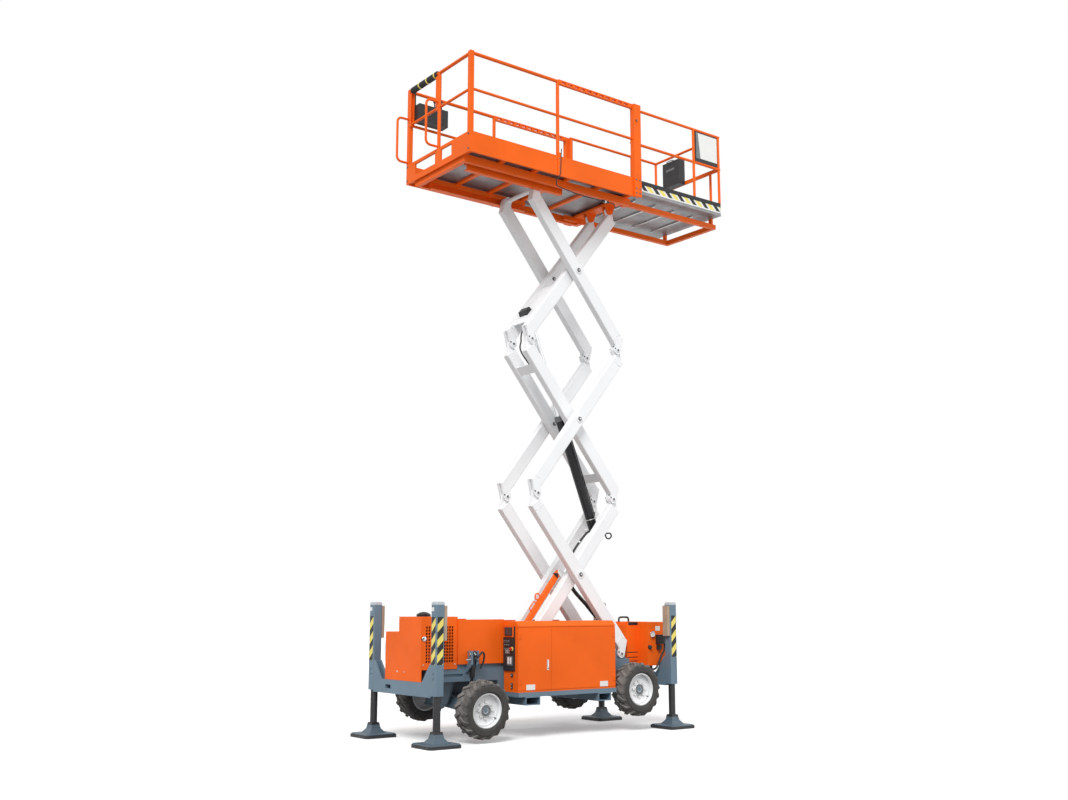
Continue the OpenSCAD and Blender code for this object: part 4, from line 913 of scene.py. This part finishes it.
class LIFT_OT_prop(bpy.types.Operator):
    """Handle loops, wings and pin of the maintenance prop"""

    bl_idname = "lift.prop"
    bl_label = "Dress Prop"

    def execute(self, context):
        arm = Arm("inner", 1)
        base = pivot("prop_swing")
        back = arm.up * 0.028
        loops = Shape("prop_loops", "orange")
        loops.ring(base - arm.along * 0.400 + back + arm.up * 0.034, Y, 0.034, 0.008, 28, 10)
        first = base - arm.along * 0.470 + back
        last = base - arm.along * 0.580 + back
        loops.tube([first, first + arm.up * 0.030, first - arm.along * 0.02 + arm.up * 0.040,
                    last + arm.along * 0.02 + arm.up * 0.040, last + arm.up * 0.030, last], 0.006, 10, 6)
        loops.done("safety_prop")
        wings = Shape("prop_wings", "black")
        for side in SIGNS:
            wings.prism([(side * 0.030, 0.0), (side * 0.105, 0.0), (side * 0.030, -0.055)],
                        (base.x, low("safety_prop").y - 0.013, base.z - 0.010), X, Z, Y * 0.010)
        wings.done("inner_1", edge=0.002)
        pin = Shape("prop_pin", "dark_steel")
        pin.lathe(button(0.018, 0.002, 0.014, 0.004), (base.x, high("safety_prop").y + 0.001, base.z), Y, 20)
        pin.done("inner_1", edge=0.0008)
        return {"FINISHED"}


class LIFT_OT_rear_boxes(bpy.types.Operator):
    """Gauge, receptacle, knob, handle and hoses of the rear boxes, and black film painted as shade under the lid
    and in the grooves
    """

    bl_idname = "lift.rear_boxes"
    bl_label = "Dress Rear Boxes"

    def execute(self, context):
        a, b = low("rear_boxes"), high("rear_boxes")
        face, top = a.y, b.z
        gauge = (1.455, face, 1.045)
        kit = Shape("rear_box_fittings", "chrome")
        kit.lathe([(0, 0), (0.036, 0), (0.036, 0.022), (0.030, 0.026), (0.030, 0.018), (0, 0.018)],
                  gauge, -Y, 32)
        kit.use("film").lathe([(0, 0.0185), (0.029, 0.0185), (0, 0.0195)], gauge, -Y, 32)
        kit.use("plastic").box((1.515, face - 0.060, 0.935), (1.620, face, 1.040))
        kit.lathe(button(0.024, 0.020, 0.018, 0.030), (1.415, face, 0.900), -Y, 20)
        kit.box((1.525, face - 0.040, 0.870), (1.575, face, 0.920))
        kit.use("film").box((1.513, face - sizes().decal, 1.085), (1.585, face, 1.138))
        kit.use("ink")
        wall_y, wall_end = -0.280, 1.388
        # Painted shade: a black film sheet at the top of the box wall stands for the shaded gap under the lid.
        kit.box((a.x + 0.030, wall_y - 0.003, 1.150), (wall_end, wall_y, top))
        # Painted shade: thin black film lines stand in for the shaded grooves low on the box wall.
        for z in (0.740, 0.783, 0.840):
            kit.box((a.x + 0.004, wall_y - 0.0012, z - 0.004), (wall_end, wall_y, z + 0.004))
        kit.done("chassis", edge=0.003)
        handle = Shape("rear_box_handle", "black")
        arch = ((1.275, -0.002), (1.276, 0.030), (1.296, 0.052),
                (1.404, 0.052), (1.424, 0.030), (1.425, -0.002))
        handle.tube([(x, -0.080, top + rise) for x, rise in arch], 0.011)
        handle.done("chassis")
        bundle = Shape("rear_hoses", "hose")
        bundle.tube([(1.625, face - 0.004, 1.035), (1.626, face - 0.030, 0.960), (1.612, face - 0.040, 0.870),
                     (1.560, face - 0.042, 0.800), (1.515, face - 0.040, 0.710), (1.470, face - 0.030, 0.655),
                     (1.415, face - 0.005, 0.660), (1.400, face + 0.030, 0.695)], 0.012)
        bundle.tube([(1.500, -0.300, 0.695), (1.510, -0.320, 0.660), (1.480, -0.340, 0.630),
                     (1.430, -0.340, 0.620)], 0.009)
        bundle.done("chassis")
        return {"FINISHED"}


class LIFT_OT_platform(bpy.types.Operator):
    """Console controls, sleeve rings, rail bolts and the cable under the platform"""

    bl_idname = "lift.platform"
    bl_label = "Dress Platform"

    def execute(self, context):
        left, desk_y, desk_z = low("platform_console").x, 0.555, 7.211
        stick = (left + 0.250, desk_y, desk_z)
        stop = (left + 0.330, desk_y, desk_z)
        desk = Shape("console_controls", "plastic")
        desk.lathe([(0, 0), (0.034, 0), (0.030, 0.010), (0.022, 0.022), (0.012, 0.034), (0, 0.034)],
                   stick, Z, 24)
        desk.lathe([(0, 0.030), (0.008, 0.030), (0.008, 0.080), (0.018, 0.090), (0.019, 0.118),
                    (0.012, 0.128), (0, 0.130)], stick, Z, 20)
        desk.use("yellow").lathe(disc(0.026, 0.004), stop, Z, 24)
        desk.use("red")
        desk.lathe([(0, 0.004), (0.010, 0.004), (0.010, 0.016), (0.018, 0.018), (0.018, 0.028), (0, 0.031)],
                   stop, Z, 24)
        desk.use("chrome")
        for k in range(4):
            x = left + 0.060 + 0.035 * k
            desk.rod((x, desk_y, desk_z), (x + 0.003, desk_y, desk_z + 0.024), 0.003, 10)
        desk.done("platform", edge=0.001)

        start, end = low("rail_sleeve"), high("rail_sleeve")
        radius = (end.z - start.z) / 2
        proud = radius + 0.0012
        centre = middle("rail_sleeve")
        rings = Shape("sleeve_rings", "yellow")
        for share in (0.06, 0.36, 0.66):
            y = start.y + (end.y - start.y) * share
            rings.lathe([(radius, 0), (proud, 0.001), (proud, 0.024), (radius, 0.025), (radius, 0)],
                        (centre.x, y, centre.z), Y, 32)
        rings.done("platform")

        bolts = Shape("rail_bolts", "dark_steel")
        panel_y, wide_y = 0.664, 0.690
        for sy in SIGNS:
            for z in (6.270, 6.440):
                bolts.bolt((-1.297, sy * 0.640, z), -X, 0.018)
            for x, y in ((-0.061, panel_y), (1.112, wide_y), (1.167, wide_y)):
                for z in (6.275, 6.330, 6.440):
                    bolts.bolt((x, sy * y, z), Y * sy, 0.016)
            bolts.rod((1.120, sy * wide_y, 7.200), (1.120, sy * 0.702, 7.200), 0.012, 16)
        bolts.done("platform", edge=0.0008)

        lead = Shape("platform_cable", "hose")
        y, under_y = -0.672, -0.530
        lead.tube([(-0.030, y, 6.560), (-0.040, y, 6.400), (-0.050, y, 6.250), (-0.090, y + 0.010, 6.180),
                   (-0.050, y + 0.060, 6.130), (0.080, -0.560, 6.140), (0.330, -0.540, 6.125),
                   (0.600, under_y, 6.128), (0.800, under_y, 6.130), (0.880, under_y, 6.125),
                   (0.905, -0.525, 6.090)], sizes().cable)
        lead.use("plastic").rod((0.700, under_y, 6.129), (0.790, under_y, 6.130), 0.016, 16)
        lead.use("film").rod((0.735, under_y, 6.1295), (0.760, under_y, 6.1298), 0.0168, 16)
        lead.done("platform")
        return {"FINISHED"}


class LIFT_OT_roll_out(bpy.types.Operator):
    """Hazard band, rubber strip, ribs, bare placard and case of the roll-out deck"""

    bl_idname = "lift.roll_out"
    bl_label = "Dress Roll-out Deck"

    def execute(self, context):
        deck_high = high("roll_out_deck")
        left, right = 1.205, deck_high.x - 0.004
        base, band = 6.372, 0.065
        for side, sy in SIDES:
            shape = Shape(f"roll_out_band_{side}")
            face = sy * deck_high.y
            start = left if sy < 0 else right
            hazard(shape, (start, face, base), X * -sy, Z, Y * sy, (right - left, band, 0.035),
                   ("yellow", "yellow", "film", "ink", "ink", "film"), lean=-1)
            shape.use("film").box((left, face, base - 0.016), (right, face + sy * sizes().decal, base))
            shape.use("ink").box((left, face, base + band), (right, face + sy * 0.004, deck_high.z - 0.002))
            shape.done("roll_out")
        ribs = Shape("roll_out_ribs", "steel")
        for x in (1.35, 1.68, 2.01, 2.34):
            ribs.box((x - 0.010, -0.400, deck_high.z - 0.190), (x + 0.010, 0.400, 6.3105))
        ribs.done("roll_out", edge=0.001)

        case_low, case_high = low("roll_out_cases"), high("roll_out_cases")
        card_x, card_y = case_low.x + 0.016, case_low.y - 0.0012
        card = Shape("placard_face", "film")
        card.box((card_x, card_y, 7.020), (2.606, case_low.y, case_high.z - 0.016))
        card.use("grey_plastic")
        card.prism([(0, 0), (0.070, 0), (0.030, 0.330), (0, 0.330)],
                   (card_x, card_y, 7.022), X, Z, Y * -0.0008)
        card.done("roll_out")
        lid = Shape("case_fittings", "grey_plastic")
        lid.box((2.518, 0.100, 7.140), (2.5195, 0.260, 7.170))
        lid.use("plastic")
        lid.tube([(2.519, 0.120, 7.262), (2.508, 0.124, 7.275), (2.508, 0.226, 7.275),
                  (2.519, 0.230, 7.262)], 0.006)
        lid.done("roll_out", edge=0.0006)
        return {"FINISHED"}


def seen_rays(tree):
    """One for the rays that show the background: from the camera, in gloss and through clear parts."""
    path = tree.nodes.new("ShaderNodeLightPath")
    seen = path.outputs["Is Camera Ray"]
    for name in ("Is Glossy Ray", "Is Transmission Ray"):
        seen = add(tree, "Math", {0: seen, 1: path.outputs[name]}, "MAXIMUM").outputs["Value"]
    return seen


class LIFT_OT_stage(bpy.types.Operator):
    """Set the floor, the light and the camera"""

    bl_idname = "lift.stage"
    bl_label = "Set Stage"

    def execute(self, context):
        scene = context.scene
        scene.view_settings.view_transform = "Standard"
        paper = (1.0, 1.0, 1.0, 1.0)
        ambient = 0.60
        world = bpy.data.worlds.new("studio")
        scene.world = world
        world.use_nodes = True
        tree = world.node_tree
        strength = remap(tree, seen_rays(tree), (0.0, 1.0), (ambient, 1.0))
        feed(tree, tree.nodes["Background"], {"Color": paper, "Strength": strength})

        reach, gap = 60.0, 0.0005
        floor = bpy.data.meshes.new("floor")
        floor.from_pydata([(-reach, -reach, 0), (reach, -reach, 0), (reach, reach, 0), (-reach, reach, 0)],
                          [], [(0, 1, 2, 3)])
        floor_piece = link("floor", floor)
        floor_piece.location.z = CAD_BOX[0][2] - gap
        material, tree, shader = blank("pale_floor")
        seen = seen_rays(tree)
        pale = mix(tree, uneven(tree, 0.8, 4.0), (0.90, 0.90, 0.90), (0.94, 0.94, 0.94))
        # Painted shade: to bounce light the floor is dark near the machine (0.14 inside 1.4 m, 0.50 beyond 3.5 m),
        # which shades the machine's underside; camera, gloss and clear rays see the pale floor.
        distance = add(tree, "VectorMath", {0: place_socket(tree)}, "LENGTH").outputs["Value"]
        far = remap(tree, distance, (1.4, 3.5), (0.0, 1.0))
        painted_shade_near_machine = mix(tree, far, (0.14, 0.14, 0.14), (0.50, 0.50, 0.50))
        glow = remap(tree, seen, (0.0, 1.0), (0.0, 0.22))
        feed(tree, shader, {"Base Color": mix(tree, seen, painted_shade_near_machine, pale), "Roughness": 0.8,
                            "Specular IOR Level": 0.0, "Emission Color": paper, "Emission Strength": glow})
        floor.materials.append(material)

        def aimed(direction):
            return Vector(direction).to_track_quat("-Z", "Y").to_euler()

        sun = bpy.data.lights.new("key_light", "SUN")
        sun.energy = 2.35
        sun.angle = math.radians(25)
        link("key_light", sun).rotation_euler = aimed((0.64, 0.58, -0.80))
        fill = bpy.data.lights.new("fill_light", "AREA")
        fill.energy = 260.0
        fill.size = 8.0
        fill_piece = link("fill_light", fill)
        fill_piece.location = (9.0, -10.0, 6.0)
        fill_piece.rotation_euler = aimed(Vector((0.5, 0.0, 3.5)) - fill_piece.location)

        lens = bpy.data.cameras.new("camera")
        lens.sensor_width = 36.0
        lens.lens = 39.6
        eye = link("camera", lens)
        eye.location = (-8.029, -10.721, 1.370)
        swing, tilt = math.radians(-37.106), math.radians(9.941)
        eye.rotation_euler = (math.pi / 2 + tilt, 0.0, swing)
        scene.camera = eye
        return {"FINISHED"}


OPERATORS = (
    LIFT_OT_finish_nodes, LIFT_OT_columns, LIFT_OT_engine_cover, LIFT_OT_control_panel, LIFT_OT_doors,
    LIFT_OT_wheels, LIFT_OT_axle_fittings, LIFT_OT_arm_fittings, LIFT_OT_plumbing, LIFT_OT_prop,
    LIFT_OT_rear_boxes, LIFT_OT_platform, LIFT_OT_roll_out, LIFT_OT_stage,
)


class LIFT_PT_panel(bpy.types.Panel):
    """Buttons for every group of pieces"""

    bl_idname = "LIFT_PT_panel"
    bl_label = "Scissor Lift"
    bl_space_type = "VIEW_3D"
    bl_region_type = "UI"
    bl_category = "Scissor Lift"

    def draw(self, context):
        for group in (context.scene.lift_sizes, context.scene.lift_colours):
            for name in group.__annotations__:
                self.layout.prop(group, name)
        for operator in OPERATORS:
            self.layout.operator(operator.bl_idname)


CLASSES = (LiftSizes, LiftColours, *OPERATORS, LIFT_PT_panel)


def register():
    for cls in CLASSES:
        bpy.utils.register_class(cls)
    bpy.types.Scene.lift_sizes = PointerProperty(type=LiftSizes)
    bpy.types.Scene.lift_colours = PointerProperty(type=LiftColours)


def unregister():
    del bpy.types.Scene.lift_colours
    del bpy.types.Scene.lift_sizes
    for cls in reversed(CLASSES):
        bpy.utils.unregister_class(cls)


def main():
    register()
    for operator in OPERATORS:
        group, name = operator.bl_idname.split(".")
        getattr(getattr(bpy.ops, group), name)()
    bpy.context.view_layer.update()


if __name__ == "__main__":
    main()
